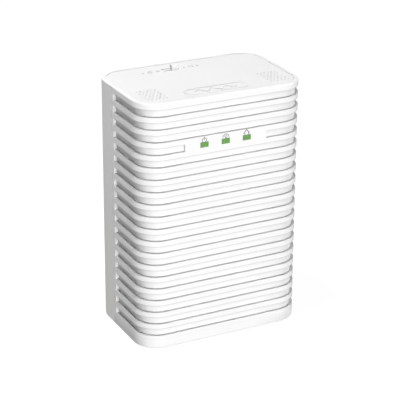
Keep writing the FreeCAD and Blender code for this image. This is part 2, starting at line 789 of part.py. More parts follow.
def build_earth_clip(label, side):
    """Solder tab and a leaf with a raised ridge on its outer side."""
    clip = new_body(label)
    middle = side * clip_z
    inner = middle - side * dim.clip_thick / 2
    outer = middle + side * dim.clip_thick / 2
    ridge = outer + side * 0.9
    front, back = y_rear + 1.25, size(-0.6)
    add(clip, "XZ", flange_front - TAIL_REACH, y_rear + 1.4,
        rect(*span(0, 0.9), *span(middle, dim.clip_thick / 2)))
    add(clip, "YZ", *span(0, dim.clip_width / 2),
        [(front, inner), (back, inner), (back, outer), (back - 4.0, ridge),
         (back - 7.0, ridge), (back - 11.0, outer), (front, outer)])


def build_earth_tube():
    """Cup-shaped sleeve, closed at its front end."""
    tube = new_body("earth_tube")
    add(tube, "XZ", -(dim.earth_length + 0.45), -0.1,
        (0, dim.earth_z, dim.earth_radius + dim.earth_wall))
    cut(tube, "XZ", -(dim.earth_length - 0.4), OVER, (0, dim.earth_z, dim.earth_radius))


def build_mains_plug():
    build_plug_block()
    build_pin("live_pin", -1)
    build_pin("neutral_pin", 1)
    build_earth_clip("earth_clip_upper", 1)
    build_earth_clip("earth_clip_lower", -1)
    build_earth_tube()


# --------------------------------------------------------------------------
# Lamps
# --------------------------------------------------------------------------
def build_lamps():
    fit = dim.lamp_fit
    # plate behind the wall, stubs in the windows, bars back towards the board
    light_pipe = new_body("light_pipe")
    add(light_pipe, "XZ", deep(dim.wall_front + 0.1), deep(dim.wall_front + 1.3),
        rect(*lamp_row, *span(lamp_z, 2.2)))
    add(light_pipe, "XZ", deep(0.02), deep(dim.wall_front + 0.6),
        *[rect(*span(x, dim.lamp_width / 2 - fit),
               lamp_top - dim.lamp_height + fit, lamp_top - fit + 0.02) for x in lamp_xs])
    add(light_pipe, "XZ", deep(dim.wall_front + 1), main_front - 2.2,
        *[rect(*span(x, 1.3), *span(lamp_z, 1.1)) for x in lamp_xs])

    shroud = new_body("led_shroud")
    add(shroud, "XZ", deep(dim.wall_front + 2.0), main_front - 0.05,
        rect(*lamp_row, *span(lamp_z, 2.9)))
    cut(shroud, "XZ", deep(dim.wall_front + 1.5), main_front + OVER,
        *[rect(*span(x, 1.8), *span(lamp_z, 1.6)) for x in lamp_xs])

    node("status_leds", join(*[
        seated(main_front, *span(x, 1.0), *span(lamp_z, 0.7), rise=0.8, gap=0.01)
        for x in lamp_xs]))


# --------------------------------------------------------------------------
# Main board and what it carries
# --------------------------------------------------------------------------
CHIP_X, CHIP_Z = -9.0, -10.0


def build_main_board():
    board = new_body("main_board")
    add(board, "XZ", main_front, main_back,
        board_outline(narrow=22.4, wide=28.5, z0=-56.5, z1=-44, z2=18, z3=27.5))
    cut(board, "XZ", main_front - OVER, main_back + OVER,
        *rings(post_spots, dim.board_screw_radius + 0.15))


def build_board_screws():
    head_front = main_back + 0.01
    length = dim.board_screw_length
    node("board_screws", join(*[
        join(rod("Y", x, head_front, z, dim.board_screw_head_radius,
                 dim.board_screw_head_thick),
             rod("Y", x, head_front - length, z, dim.board_screw_radius, length + 0.2))
        for x, z in post_spots]))


def build_processor():
    """Chip, thermal pad and finned heatsink, stacked forwards from the board."""
    node("soc_chip", seated(main_front, *span(CHIP_X, 7), *span(CHIP_Z, 7), rise=1.25))
    node("thermal_pad",
         seated(main_front, *span(CHIP_X, 7.5), *span(CHIP_Z, 7.5), rise=1.78, gap=1.28))
    sink_half_x, fin_pitch, fin_thick = 12.5, 3.0, 1.0
    sink_z = span(CHIP_Z, 13)
    base = seated(main_front, *span(CHIP_X, sink_half_x), *sink_z, rise=3.3, gap=1.8)
    fin_xs = [CHIP_X - sink_half_x + fin_pitch * k for k in range(9)]
    fins = [seated(main_front, x, x + fin_thick, *sink_z, rise=8.0, gap=2.8) for x in fin_xs]
    node("heatsink", join(base, *fins))


def build_small_parts():
    node("memory_chip", seated(main_front, 7.5, 17.5, -23, -11, rise=1.15))
    # folded can, open to the board, with six slots in its front
    slots = [seated(main_front, 8.0 + 3.4 * k, 9.4 + 3.4 * k, 0.4 + 3.2 * j, 1.4 + 3.2 * j,
                    rise=3, gap=2) for k in range(3) for j in range(2)]
    node("radio_shield", minus(
        seated(main_front, 5.5, 20.5, -4.0, 10.0, rise=2.6),
        seated(main_front, 5.75, 20.25, -3.75, 9.75, rise=2.35, gap=-OVER), *slots))
    crystal_x, crystal_z = 12.0, -29.5
    node("crystal_can", join(
        seated(main_front, *span(crystal_x, 2.8), *span(crystal_z, 2.1), rise=0.5),
        seated(main_front, *span(crystal_x, 2.4), *span(crystal_z, 1.7), rise=1.3, gap=0.4)))
    node("ethernet_magnetics", seated(main_front, -8.0, 8.0, -37.2, -28.2, rise=5.6))


def build_ethernet_jack():
    """Jack with its mouth downwards, its metal shield and eight contacts."""
    inner_half = jack_half - 0.35
    mouth_half, latch_half = dim.jack_mouth_width / 2, 3.1
    mouth_back = mouth_front + dim.jack_mouth_thick
    latch_back = mouth_back + 1.6
    jack = new_body("ethernet_jack")
    add(jack, "XZ", deep(dim.jack_depth + 0.35), main_front - 0.04,
        rect(*span(0, inner_half), jack_bottom, jack_top - 0.35))
    cut(jack, "XY", jack_bottom - OVER, jack_bottom + dim.jack_mouth_length,
        [(-mouth_half, mouth_front), (mouth_half, mouth_front), (mouth_half, mouth_back),
         (latch_half, mouth_back), (latch_half, latch_back), (-latch_half, latch_back),
         (-latch_half, mouth_back), (-mouth_half, mouth_back)])

    sheet_thick = 0.3
    shield = new_body("jack_shield")
    add(shield, "XZ", deep(dim.jack_depth), main_front - 0.06,
        rect(*span(0, jack_half), jack_bottom, jack_top))
    cut(shield, "XZ", deep(dim.jack_depth + sheet_thick), main_front + OVER,
        rect(*span(0, jack_half - sheet_thick), jack_bottom - OVER, jack_top - sheet_thick))

    # y range from the front of the mouth, z range from the bottom of the jack
    contact_pieces = [(-0.5, 0.25, 3.0, 3.5), (0.2, 0.6, 3.0, 13.0), (0.2, 0.6, 12.5, 15.2)]
    contacts = []
    for k in range(8):
        x_range = span(-3.57 + 1.02 * k, 0.2)
        contacts.append(join(*[
            block(*x_range, mouth_front + y0, mouth_front + y1,
                  jack_bottom + z0, jack_bottom + z1)
            for y0, y1, z0, z1 in contact_pieces]))
    node("jack_contacts", join(*contacts))


def build_buttons():
    """Buttons in the bottom and the switches above them."""
    cap_bottom = z_bottom + 0.15
    plunger_height = 1.5
    cap = rounded(
        rod("Z", dim.pair_x, button_y, cap_bottom, dim.pair_radius, dim.wall_bottom + 0.5),
        0.4, lambda e: edge_at(e, "Z", cap_bottom))
    node("pair_button", join(
        cap,
        rod("Z", dim.pair_x, button_y, z_floor + 0.05, dim.pair_radius + 0.9, 0.9),
        rod("Z", dim.pair_x, button_y, z_floor + 0.5, 1.2, 1.6)))
    switch_bottom = z_floor + 3.2
    for label, x in (("pair_switch", dim.pair_x), ("reset_switch", dim.reset_x)):
        node(label, minus(
            block(*span(x, 3), button_y - 2.6, main_front - dim.part_gap,
                  switch_bottom, switch_bottom + 3.6),
            rod("Z", x, button_y, switch_bottom - OVER, dim.plunger_radius + 0.06, 2.2)))
    node("pair_switch_plunger",
         rod("Z", dim.pair_x, button_y, z_floor + 2.12, dim.plunger_radius, plunger_height))
    node("reset_button", join(
        rod("Z", dim.reset_x, button_y, z_floor + 0.7, 0.9, 1.5),
        rod("Z", dim.reset_x, button_y, z_floor + 2.1, dim.plunger_radius, plunger_height)))


# --------------------------------------------------------------------------
# Radio antennas on the side walls, each with a thin coaxial lead
# --------------------------------------------------------------------------
LEAD_RADIUS = 0.55
# distance in from the lead's start, depth, z
LEAD_PATH = [(0.0, 13.0, 9.0), (0.3, 13.2, 14.0), (2.2, 14.0, 19.0),
             (5.0, 15.0, 19.8), (7.2, 15.9, 17.0), (7.9, 16.8, 14.0)]


def pipe(points, radius):
    """Round pipe along a smooth curve through the points."""
    curve = Part.BSplineCurve()
    curve.interpolate(points)
    path = Part.Wire([curve.toShape()])
    tangent = curve.tangent(curve.FirstParameter)[0]
    circle = Part.Wire([Part.makeCircle(radius, points[0], tangent)])
    return path.makePipeShell([circle], True, True)


def build_antennas():
    for name, side in (("left", -1), ("right", 1)):
        x = side * (half_width - dim.wall_front - 0.4)
        node("antenna_" + name, block(*span(x, 0.3), deep(9.8), deep(16.6), -18, 16))
        start_x = side * (half_width - dim.wall_front - 1.35).value
        lead = doc.addObject("Part::Feature", fresh("Lead"))
        lead.Shape = pipe([FreeCAD.Vector(start_x - side * inward, deep(depth).value, z)
                           for inward, depth, z in LEAD_PATH], LEAD_RADIUS)
        node("antenna_lead_" + name, lead)


# --------------------------------------------------------------------------
# Between the boards
# --------------------------------------------------------------------------
HEADER_Z = -39.5
HEADER_XS = [-24.0 + 2.54 * k for k in range(4)]


def build_insulator():
    front = main_back + 1.8
    insulator = new_body("insulator_sheet")
    add(insulator, "XZ", front, front + 0.4, rect(-28, 28, -46, 19))
    # window for the board header
    cut(insulator, "XZ", front - OVER, front + OVER, rect(-26, -12, -42.2, -36.8))


def build_board_header():
    def pins(half, front, back):
        return [block(*span(x, half), front, back, *span(HEADER_Z, half)) for x in HEADER_XS]

    node("board_header", minus(
        block(-25.4, -15.0, main_back + 0.05, power_front - 0.05, *span(HEADER_Z, 1.5)),
        *pins(0.34, main_back - OVER, power_front + OVER)))
    node("header_pins", join(*pins(0.32, main_back + 0.02, power_front - 0.02)))


# --------------------------------------------------------------------------
# Power board and what it carries
# --------------------------------------------------------------------------
def build_power_board():
    board = new_body("power_board")
    add(board, "XZ", power_front, power_back,
        board_outline(narrow=21, wide=28, z0=-54, z1=-46.5, z2=20.5, z3=30))
    # holes for the pin tails and the tabs of the earth clips
    cut(board, "XZ", power_front - OVER, power_back + OVER,
        *[(side * dim.pin_half_pitch, 0, dim.tail_radius + 0.1) for side in (-1, 1)])
    cut(board, "XZ", power_front - OVER, power_back + OVER,
        *[rect(*span(0, 1.05), *span(side * clip_z, 0.55)) for side in (-1, 1)])


def build_transformer():
    """Switched-mode transformer, winding axis along X."""
    x, y, z = 15.5, deep(29.4), -11.5
    node("transformer_core", minus(
        block_about(x, y, z, 9, 2.6, 8.4),
        block(*span(x, 5.8), *span(y, 3), z - 5.9, z - 2.5),
        block(*span(x, 5.8), *span(y, 3), z + 2.5, z + 5.9)))

    flange_outer, flange_inner = 5.6, 4.8
    flange_section = (y - 6.2, y + 6.3, *span(z, 5.7))
    node("transformer_bobbin", minus(
        join(block_about(x, y, z, flange_outer, 3.4, 3.3),
             block(x - flange_outer, x - flange_inner, *flange_section),
             block(x + flange_inner, x + flange_outer, *flange_section)),
        block_about(x, y, z, 7, 2.65, 2.55)))

    coil_half_z = 5.6
    coil = minus(block_about(x, y, z, 4.75, 5.8, coil_half_z),
                 block_about(x, y, z, 6, 3.45, 3.35))
    node("transformer_winding", rounded(coil, 1.2, lambda e: along(e, "X") and abs(
        abs(e.Vertexes[0].Point.z - z) - coil_half_z) < 1e-3))


def build_electrolytics():
    """Round capacitors, each with a crimped ring near one end."""
    x, y, bottom, length = -20.5, deep(29.4), -24.0, 20.0
    top = bottom + length
    can = rounded(rod("Z", x, y, bottom, 5.0, length), 0.7,
                  lambda e: edge_at(e, "Z", bottom) or edge_at(e, "Z", top))
    node("bulk_capacitor", minus(can, donut("Z", x, y, top - 2.2, 5.25, 0.55)))

    z, can_front = -38.5, power_front - 12.0
    outputs = []
    for x in (4.0, 14.0):
        can = rounded(rod("Y", x, can_front, z, 4.0, 11.98), 0.5,
                      lambda e: edge_at(e, "Y", can_front))
        outputs.append(minus(can, donut("Y", x, power_front - 2.4, z, 4.2, 0.45)))
    node("output_capacitors", join(*outputs))


def disc(x, rise, z, radius, thick):
    """Disc across X with both rims rounded, its centre rise in front of the power board."""
    return rounded(rod("X", x, power_front - rise, z, radius, thick), 1.2,
                   lambda e: edge_at(e, "X", x) or edge_at(e, "X", x + thick))


def build_mains_parts():
    node("x_capacitor", rounded(seated(power_front, -26.5, -13.5, 4.5, 10.5, rise=11.0), 0.6,
                                lambda e: along(e, "Y")))
    node("y_capacitor", disc(-5.6, rise=5.0, z=8.0, radius=4.0, thick=3.2))
    node("varistor", join(
        disc(-25.6, rise=5.6, z=15.6, radius=4.4, thick=3.4),
        seated(power_front, -24.2, -23.6, 12.4, 13.0, rise=2.4),
        seated(power_front, -24.2, -23.6, 18.2, 18.8, rise=2.4)))
    fuse_y, fuse_z, cap_radius, cap_length = power_front - 3.2, 15.8, 2.25, 1.4
    node("fuse", join(rod("X", -19.5, fuse_y, fuse_z, 2.0, 5.0),
                      rod("X", -20.5, fuse_y, fuse_z, cap_radius, cap_length),
                      rod("X", -14.9, fuse_y, fuse_z, cap_radius, cap_length)))
    bridge_rise = 3.0
    node("bridge_rectifier", rounded(
        seated(power_front, -24.5, -16.0, -33.5, -27.5, rise=bridge_rise), 0.4,
        lambda e: edge_at(e, "Y", power_front - bridge_rise)))
    choke_x, choke_z = 16.5, 9.8
    node("line_choke", join(
        donut("X", choke_x, power_front - 7.4, choke_z, 4.6, 2.2),
        seated(power_front, *span(choke_x, 2.9), *span(choke_z, 4.0), rise=3.2)))


def build_converter_parts():
    node("coupling_transformer", rounded(
        seated(power_front, -6.5, 4.5, -31.0, -22.0, rise=9.0), 0.6, lambda e: along(e, "Y")))
    # spool: rise of its front face, radius, length
    spool = [(9.0, 3.9, 1.5), (8.0, 3.1, 7.0), (1.5, 3.9, 1.47)]
    node("power_inductor", join(*[rod("Y", -6.5, power_front - rise, -40.5, radius, length)
                                  for rise, radius, length in spool]))
    node("switching_transistor", join(
        seated(power_front, -9.0, 1.0, -12.0, -8.0, rise=4.7, gap=0.4),
        seated(power_front, -9.0, 1.0, -8.2, -3.4, rise=1.5)))


# --------------------------------------------------------------------------
# Housing screws, with a cross recess in each head
# --------------------------------------------------------------------------
def build_housing_screws():
    head_front = y_rear - dim.cup_depth + 0.02
    head_back = head_front + dim.screw_head_thick
    long_half, short_half = 1.4, 0.3
    bolts = []
    for x, z in screw_spots:
        recess = [block(*span(x, half_x), head_back - 1.1, head_back + OVER, *span(z, half_z))
                  for half_x, half_z in ((long_half, short_half), (short_half, long_half))]
        bolts.append(minus(
            join(rod("Y", x, head_front, z, dim.screw_head_radius, dim.screw_head_thick),
                 rod("Y", x, head_front - dim.screw_length, z, dim.screw_radius,
                     dim.screw_length + 0.5)),
            *recess))
    node("housing_screws", join(*bolts))


# --------------------------------------------------------------------------
# Build, check and write
# --------------------------------------------------------------------------
for build in (
        build_front_shell, build_rear_shell, build_top_panel,
        build_switch_knob, build_switch_stem, build_switch_body, build_switch_frame,
        build_mains_plug, build_lamps,
        build_main_board, build_board_screws, build_processor, build_small_parts,
        build_ethernet_jack, build_buttons, build_antennas,
        build_insulator, build_board_header,
        build_power_board, build_transformer, build_electrolytics, build_mains_parts,
        build_converter_parts, build_housing_screws):
    build()

doc.recompute()
faults = []
for obj in doc.Objects:
    if "Invalid" in obj.State or "Error" in obj.State:
        faults.append("%s (%s) %s" % (obj.Name, obj.Label, obj.State))
for label, obj in NODES.items():
    shape = obj.Shape
    if shape.isNull() or not shape.isValid() or not shape.Solids:
        faults.append("%s has no valid solid" % label)
if faults:
    raise RuntimeError("; ".join(faults))

os.makedirs("parts", exist_ok=True)
for label, obj in NODES.items():
    obj.Shape.exportStep(os.path.join("parts", label + ".step"))
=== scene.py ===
"""Plug-in network unit: a white housing with a switch on top and three lamps at the front.

The frame is in metres with +Z up. The front faces -Y, and +X is right as seen from the front.
Sizes and shader patterns are in millimetres of this frame unless noted.
"""
import math

import bpy
import bmesh
from mathutils import Matrix, Vector


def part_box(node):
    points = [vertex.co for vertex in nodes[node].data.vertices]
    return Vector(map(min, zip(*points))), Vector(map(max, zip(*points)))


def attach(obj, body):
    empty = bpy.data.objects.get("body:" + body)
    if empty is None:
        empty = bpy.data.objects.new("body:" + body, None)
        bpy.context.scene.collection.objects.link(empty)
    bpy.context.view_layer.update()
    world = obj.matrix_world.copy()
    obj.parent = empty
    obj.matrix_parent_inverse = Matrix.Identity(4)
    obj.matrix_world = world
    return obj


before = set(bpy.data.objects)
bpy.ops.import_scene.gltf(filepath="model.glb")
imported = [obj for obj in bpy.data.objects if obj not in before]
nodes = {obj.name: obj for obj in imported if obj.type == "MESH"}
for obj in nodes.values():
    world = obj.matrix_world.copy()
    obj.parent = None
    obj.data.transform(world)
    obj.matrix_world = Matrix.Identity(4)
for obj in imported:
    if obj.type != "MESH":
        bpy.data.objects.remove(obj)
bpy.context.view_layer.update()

MM = 0.001

pipe_lo, pipe_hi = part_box("light_pipe")
shell_lo, shell_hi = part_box("front_shell")
panel_lo, panel_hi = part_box("top_panel")
knob_lo, knob_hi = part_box("power_switch_knob")
rear_lo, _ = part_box("rear_shell")
jack_lo, jack_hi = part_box("jack_shield")
fuse_lo, fuse_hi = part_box("fuse")

front_y = shell_lo.y / MM
shell_top = shell_hi.z / MM
seam_y = rear_lo.y / MM

LAMP_PITCH = 8.5
lamp_mid_x = (pipe_lo.x + pipe_hi.x) / 2 / MM
lamp_mid_z = (pipe_lo.z + pipe_hi.z) / 2 / MM + 0.25
lamp_xs = [lamp_mid_x + LAMP_PITCH * k for k in (-1, 0, 1)]

BAND_PITCH = 4.715  # height of one repeat of the shading down the front shell
FUSE_CAP = 1.4      # length of each metal fuse cap


# --------------------------------------------------------------------------
# Shader graph helpers
# --------------------------------------------------------------------------
class Graph:
    """Short calls for building a node tree. Values may be numbers, tuples or sockets."""

    def __init__(self, tree):
        self.tree = tree
        tree.nodes.clear()

    def add(self, kind, **props):
        node = self.tree.nodes.new(kind)
        for key, value in props.items():
            setattr(node, key, value)
        return node

    def feed(self, node, key, value):
        """Set an input, or link it when the value is a socket."""
        socket = node.inputs[key]
        if isinstance(value, bpy.types.NodeSocket):
            self.tree.links.new(value, socket)
        elif isinstance(value, tuple) and socket.type == "RGBA":
            socket.default_value = (*value, 1.0)
        else:
            socket.default_value = value

    def math(self, operation, first, second=0.0, clamp=False):
        node = self.add("ShaderNodeMath", operation=operation, use_clamp=clamp)
        self.feed(node, 0, first)
        self.feed(node, 1, second)
        return node.outputs[0]

    def times(self, product, *factors):
        for factor in factors:
            product = self.math("MULTIPLY", product, factor)
        return product

    def vec(self, operation, first, second=(0.0, 0.0, 0.0), scale=1.0):
        node = self.add("ShaderNodeVectorMath", operation=operation)
        self.feed(node, 0, first)
        self.feed(node, 1, second)
        self.feed(node, 3, scale)
        return node.outputs["Value" if operation in ("DOT_PRODUCT", "LENGTH") else "Vector"]

    def split(self, vector):
        node = self.add("ShaderNodeSeparateXYZ")
        self.feed(node, 0, vector)
        return node.outputs[0], node.outputs[1], node.outputs[2]

    def remap(self, value, start, end, low=0.0, high=1.0, smooth=False):
        """Take start..end to low..high, clamped."""
        node = self.add("ShaderNodeMapRange", clamp=True,
                        interpolation_type="SMOOTHSTEP" if smooth else "LINEAR")
        for key, item in enumerate((value, start, end, low, high)):
            self.feed(node, key, item)
        return node.outputs[0]

    def swing(self, noise, low=0.0, high=1.0):
        """Stretch the usual range of a noise to low..high."""
        return self.remap(noise, 0.3, 0.7, low, high)

    def mix(self, factor, first, second, blend="MIX"):
        node = self.add("ShaderNodeMix", data_type="RGBA", blend_type=blend)
        for key, value in ((0, factor), (6, first), (7, second)):
            self.feed(node, key, value)
        return node.outputs[2]

    def multiply_where(self, factor, body, filter_color):
        """Multiply the body by a colour where factor is 1; used for painted shade and light and
        for the warm tint low down.
        """
        return self.mix(factor, body, self.mix(1.0, body, filter_color, "MULTIPLY"))

    def vary(self, noise, color, dark, light):
        return self.mix(self.swing(noise), tint(color, dark), tint(color, light))

    def mix_shaders(self, factor, first, second):
        node = self.add("ShaderNodeMixShader")
        for key, value in enumerate((factor, first, second)):
            self.feed(node, key, value)
        return node.outputs[0]


def new_material(name, color, rough, metallic=0.0):
    """A material with its viewport look set."""
    material = bpy.data.materials.new(name)
    material.use_nodes = True
    material.diffuse_color = (*color, 1.0)
    material.roughness = rough
    material.metallic = metallic
    return material


class Finish(Graph):
    """A Principled material with patterns laid out in object millimetres."""

    def __init__(self, name, color, rough, metallic=0.0):
        self.material = new_material(name, color, rough, metallic)
        super().__init__(self.material.node_tree)
        output = self.add("ShaderNodeOutputMaterial")
        self.bsdf = self.add("ShaderNodeBsdfPrincipled")
        self.put("Base Color", color)
        self.put("Roughness", rough)
        self.put("Metallic", metallic)
        self.feed(output, "Surface", self.bsdf.outputs[0])
        coord = self.add("ShaderNodeTexCoord").outputs["Object"]
        self.point = self.vec("SCALE", coord, scale=1.0 / MM)

    def put(self, key, value):
        self.feed(self.bsdf, key, value)

    def noise(self, per_mm, detail=2.0, rough=0.5, stretch=(1.0, 1.0, 1.0),
              shift=(0.0, 0.0, 0.0), distort=0.0):
        place = self.vec("ADD", self.vec("MULTIPLY", self.point, stretch), shift)
        node = self.add("ShaderNodeTexNoise")
        self.feed(node, "Vector", place)
        self.feed(node, "Scale", per_mm)
        self.feed(node, "Detail", detail)
        self.feed(node, "Roughness", rough)
        self.feed(node, "Distortion", distort)
        return node.outputs[0]

    def cells(self, per_mm, feature="F1", output="Distance", stretch=(1.0, 1.0, 1.0),
              randomness=1.0):
        node = self.add("ShaderNodeTexVoronoi", feature=feature)
        self.feed(node, "Vector", self.vec("MULTIPLY", self.point, stretch))
        self.feed(node, "Scale", per_mm)
        self.feed(node, "Randomness", randomness)
        return node.outputs[output]

    def facing(self):
        return self.add("ShaderNodeNewGeometry").outputs["Normal"]

    def edge(self, radius):
        """1 on outside and inside edges, 0 on flats."""
        node = self.add("ShaderNodeBevel", samples=4)
        self.feed(node, "Radius", radius * MM)
        agreement = self.vec("DOT_PRODUCT", node.outputs[0], self.facing())
        return self.remap(agreement, 0.985, 0.86)

    def open_sky(self, reach):
        """1 on open surfaces, towards 0 in corners and grooves."""
        node = self.add("ShaderNodeAmbientOcclusion", samples=8, inside=False, only_local=False)
        self.feed(node, "Distance", reach * MM)
        return node.outputs["AO"]

    def bump(self, height, depth, strength=1.0, after=None):
        node = self.add("ShaderNodeBump")
        self.feed(node, "Strength", strength)
        self.feed(node, "Distance", depth * MM)
        self.feed(node, "Height", height)
        if after is not None:
            self.feed(node, "Normal", after)
        return node.outputs[0]


def tint(color, factor):
    return tuple(max(0.0, min(1.0, channel * factor)) for channel in color)


def grey(level):
    return (level, level, level)


def warm_shade(level):
    """A slightly warm grey, multiplied in as painted shade."""
    return (level, level * 0.995, level * 0.985)


# --------------------------------------------------------------------------
# Finishes
# --------------------------------------------------------------------------
def band_step(mat, height, below_top):
    """Height in band pitches, counted from a level below the shell top."""
    offset = mat.math("SUBTRACT", height, shell_top - below_top)
    return mat.math("DIVIDE", offset, BAND_PITCH)


def band_phase(mat, step):
    """0..1 within each band. The 40 whole bands keep the value positive."""
    return mat.math("FRACT", mat.math("ADD", step, 40.0))


def shade_flanks(mat, body, flank):
    """Painted shade and painted light on sheltered upright walls, by height, facing and place.
    """
    facing_x, facing_y, facing_z = mat.split(mat.facing())
    x, _, z = mat.split(mat.point)
    buried = mat.remap(mat.open_sky(4.5), 0.97, 0.80)
    upright = mat.remap(mat.math("ABSOLUTE", facing_z), 0.5, 0.2)

    # Each band runs from painted light at its bottom to painted shade at its top, above the
    # lowest millimetres
    phase = band_phase(mat, band_step(mat, z, below_top=5.0))
    tone = mat.remap(phase, 0.0, 0.543, 1.14, 0.87)
    where = mat.times(buried, upright, mat.remap(z, -57.0, -56.0))
    change = mat.times(mat.math("SUBTRACT", tone, 1.0), where)
    body = mat.vec("SCALE", body, scale=mat.math("ADD", 1.0, change))

    # Painted shade on sheltered left-facing walls
    left_wall = mat.times(buried, upright, mat.remap(facing_x, -0.72, -0.97))
    body = mat.multiply_where(left_wall, body, grey(flank))
    # Painted shade on sheltered front walls towards the right
    right_front = mat.times(buried, upright, mat.remap(x, 12.0, 26.0),
                            mat.remap(facing_y, -0.70, -0.92))
    body = mat.multiply_where(right_front, body, grey(0.86))
    # Painted light on sheltered right-facing walls
    right_turn = mat.times(buried, upright, mat.remap(facing_x, 0.35, 0.75))
    body = mat.multiply_where(right_turn, body, grey(1.14))
    # Painted shade on upward faces near the top left
    left_sill = mat.times(mat.remap(facing_z, 0.10, 0.40), mat.remap(x, -21.0, -29.0),
                          mat.remap(z, 31.5, 30.5))
    return mat.multiply_where(left_sill, body, grey(0.62))


def shade_lips(mat, body, lip):
    """A thin painted shade line in each band, and painted shade on right-facing turns near the
    middle.
    """
    facing_x, _, _ = mat.split(mat.facing())
    x, y, z = mat.split(mat.point)
    from_middle = mat.math("ABSOLUTE", x)
    step = band_step(mat, z, below_top=2.44)
    # The line three pitches below the first one is broken in the middle
    from_gap = mat.math("ABSOLUTE", mat.math("ADD", step, 3.0))
    gap = mat.times(mat.remap(from_middle, 16.4, 16.3), mat.remap(from_gap, 0.2, 0.1))
    line = mat.times(
        mat.remap(band_phase(mat, step), 0.075, 0.060),
        mat.remap(z, -56.5, -55.5),
        mat.remap(y, seam_y - 1.2, seam_y - 1.8),
        mat.math("SUBTRACT", 1.0, gap))
    turned = mat.times(mat.remap(facing_x, 0.2, 0.4), mat.remap(from_middle, 21.0, 19.0))
    return mat.multiply_where(mat.math("MAXIMUM", line, turned), body, grey(lip))


def paint_glow(mat, color, height, amount, front):
    """Painted glow, as emission: in a zone below a height, and on the front above it."""
    z = mat.split(mat.point)[2]
    below = mat.times(mat.remap(z, height + 0.01, height - 0.03, 0.0, amount),
                      mat.remap(z, height - 3.0, height - 2.5))
    above = mat.times(mat.remap(mat.split(mat.facing())[1], -0.4, -0.8),
                      mat.remap(z, height + 0.3, height + 0.6), front)
    mat.put("Emission Color", color)
    mat.put("Emission Strength", mat.math("ADD", below, above))


def moulded(name, color, rough=0.5, grain=2.6, grain_depth=0.006, wave_depth=0.02,
            spread=0.02, worn=1.04, corner_shade=0.86, ledge=None, flank=None, lip=None, reach=1.2,
            warm=None, specular=0.45, painted_glow=None, left=None):
    """Injection-moulded plastic: fine grain, flow mottling, polished edges, painted shade in
    corners.

    spread is the mottling contrast and reach the size of the corners that get painted shade.
    The
    rest are colour factors: worn on edges, corner_shade for painted shade in corners, ledge for
    painted shade where those face up, flank for painted shade on sheltered left walls, lip for
    painted shade lines, warm low down, left for painted shade on left faces.
    """
    mat = Finish(name, color, rough)
    blotch = mat.noise(0.045, detail=3.0, rough=0.55)
    speck = mat.noise(1.9, rough=0.6, shift=(31.0, 7.0, 13.0))
    body = mat.vary(blotch, color, 1.0 - spread, 1.0 + spread * 0.5)
    body = mat.mix(mat.remap(speck, 0.35, 0.75, 0.0, 0.35), body,
                   tint(color, 1.0 - spread * 1.4))
    if warm is not None:
        low_down = mat.remap(mat.split(mat.point)[2], -10.0, -55.0, smooth=True)
        body = mat.multiply_where(low_down, body, warm)
    # Painted shade: the colour is multiplied darker where ambient occlusion finds corners and
    # grooves
    is_open = mat.remap(mat.open_sky(reach), 0.25, 0.85)
    corner_shaded_body = mat.mix(1.0, body, warm_shade(corner_shade), "MULTIPLY")
    # Painted shade on upward faces in those corners, deeper towards the left end
    if ledge is not None:
        upward = mat.remap(mat.split(mat.facing())[2], 0.3, 0.8)
        left_end = mat.remap(mat.split(mat.point)[0], -23.0, -31.0)
        ledge_shaded = mat.mix(left_end, mat.mix(1.0, body, warm_shade(ledge), "MULTIPLY"),
                          tint(color, ledge * 0.72))
        corner_shaded_body = mat.mix(upward, corner_shaded_body, ledge_shaded)
    body = mat.mix(is_open, corner_shaded_body, body)
    if flank is not None:
        body = shade_flanks(mat, body, flank)
    if lip is not None:
        body = shade_lips(mat, body, lip)
    edge = mat.edge(0.3)
    body = mat.mix(mat.times(edge, 0.6), body, tint(color, worn))
    # Painted shade on left-facing faces
    if left is not None:
        facing_left = mat.remap(mat.split(mat.facing())[0], -0.3, -0.8)
        body = mat.multiply_where(facing_left, body, grey(left))
    mat.put("Base Color", body)

    uneven = mat.math("ADD", mat.swing(speck, rough - 0.05, rough + 0.05),
                      mat.swing(blotch, -0.03, 0.03))
    mat.put("Roughness", mat.math("ADD", uneven, mat.times(edge, -0.12), clamp=True))

    pits = mat.cells(grain, "SMOOTH_F1")
    fine = mat.noise(grain * 1.7, rough=0.6, shift=(3.0, 19.0, 5.0))
    texture = mat.math("ADD", mat.times(pits, 0.6), mat.times(fine, 0.8))
    wave = mat.noise(0.11, detail=1.0, rough=0.4, shift=(11.0, 2.0, 23.0))
    waved = mat.bump(wave, wave_depth, strength=0.6)
    mat.put("Normal", mat.bump(texture, grain_depth, after=waved))
    mat.put("Specular IOR Level", specular)
    # Painted light as emission on a part that is no lamp
    if painted_glow is not None:
        paint_glow(mat, color, **painted_glow)
    return mat


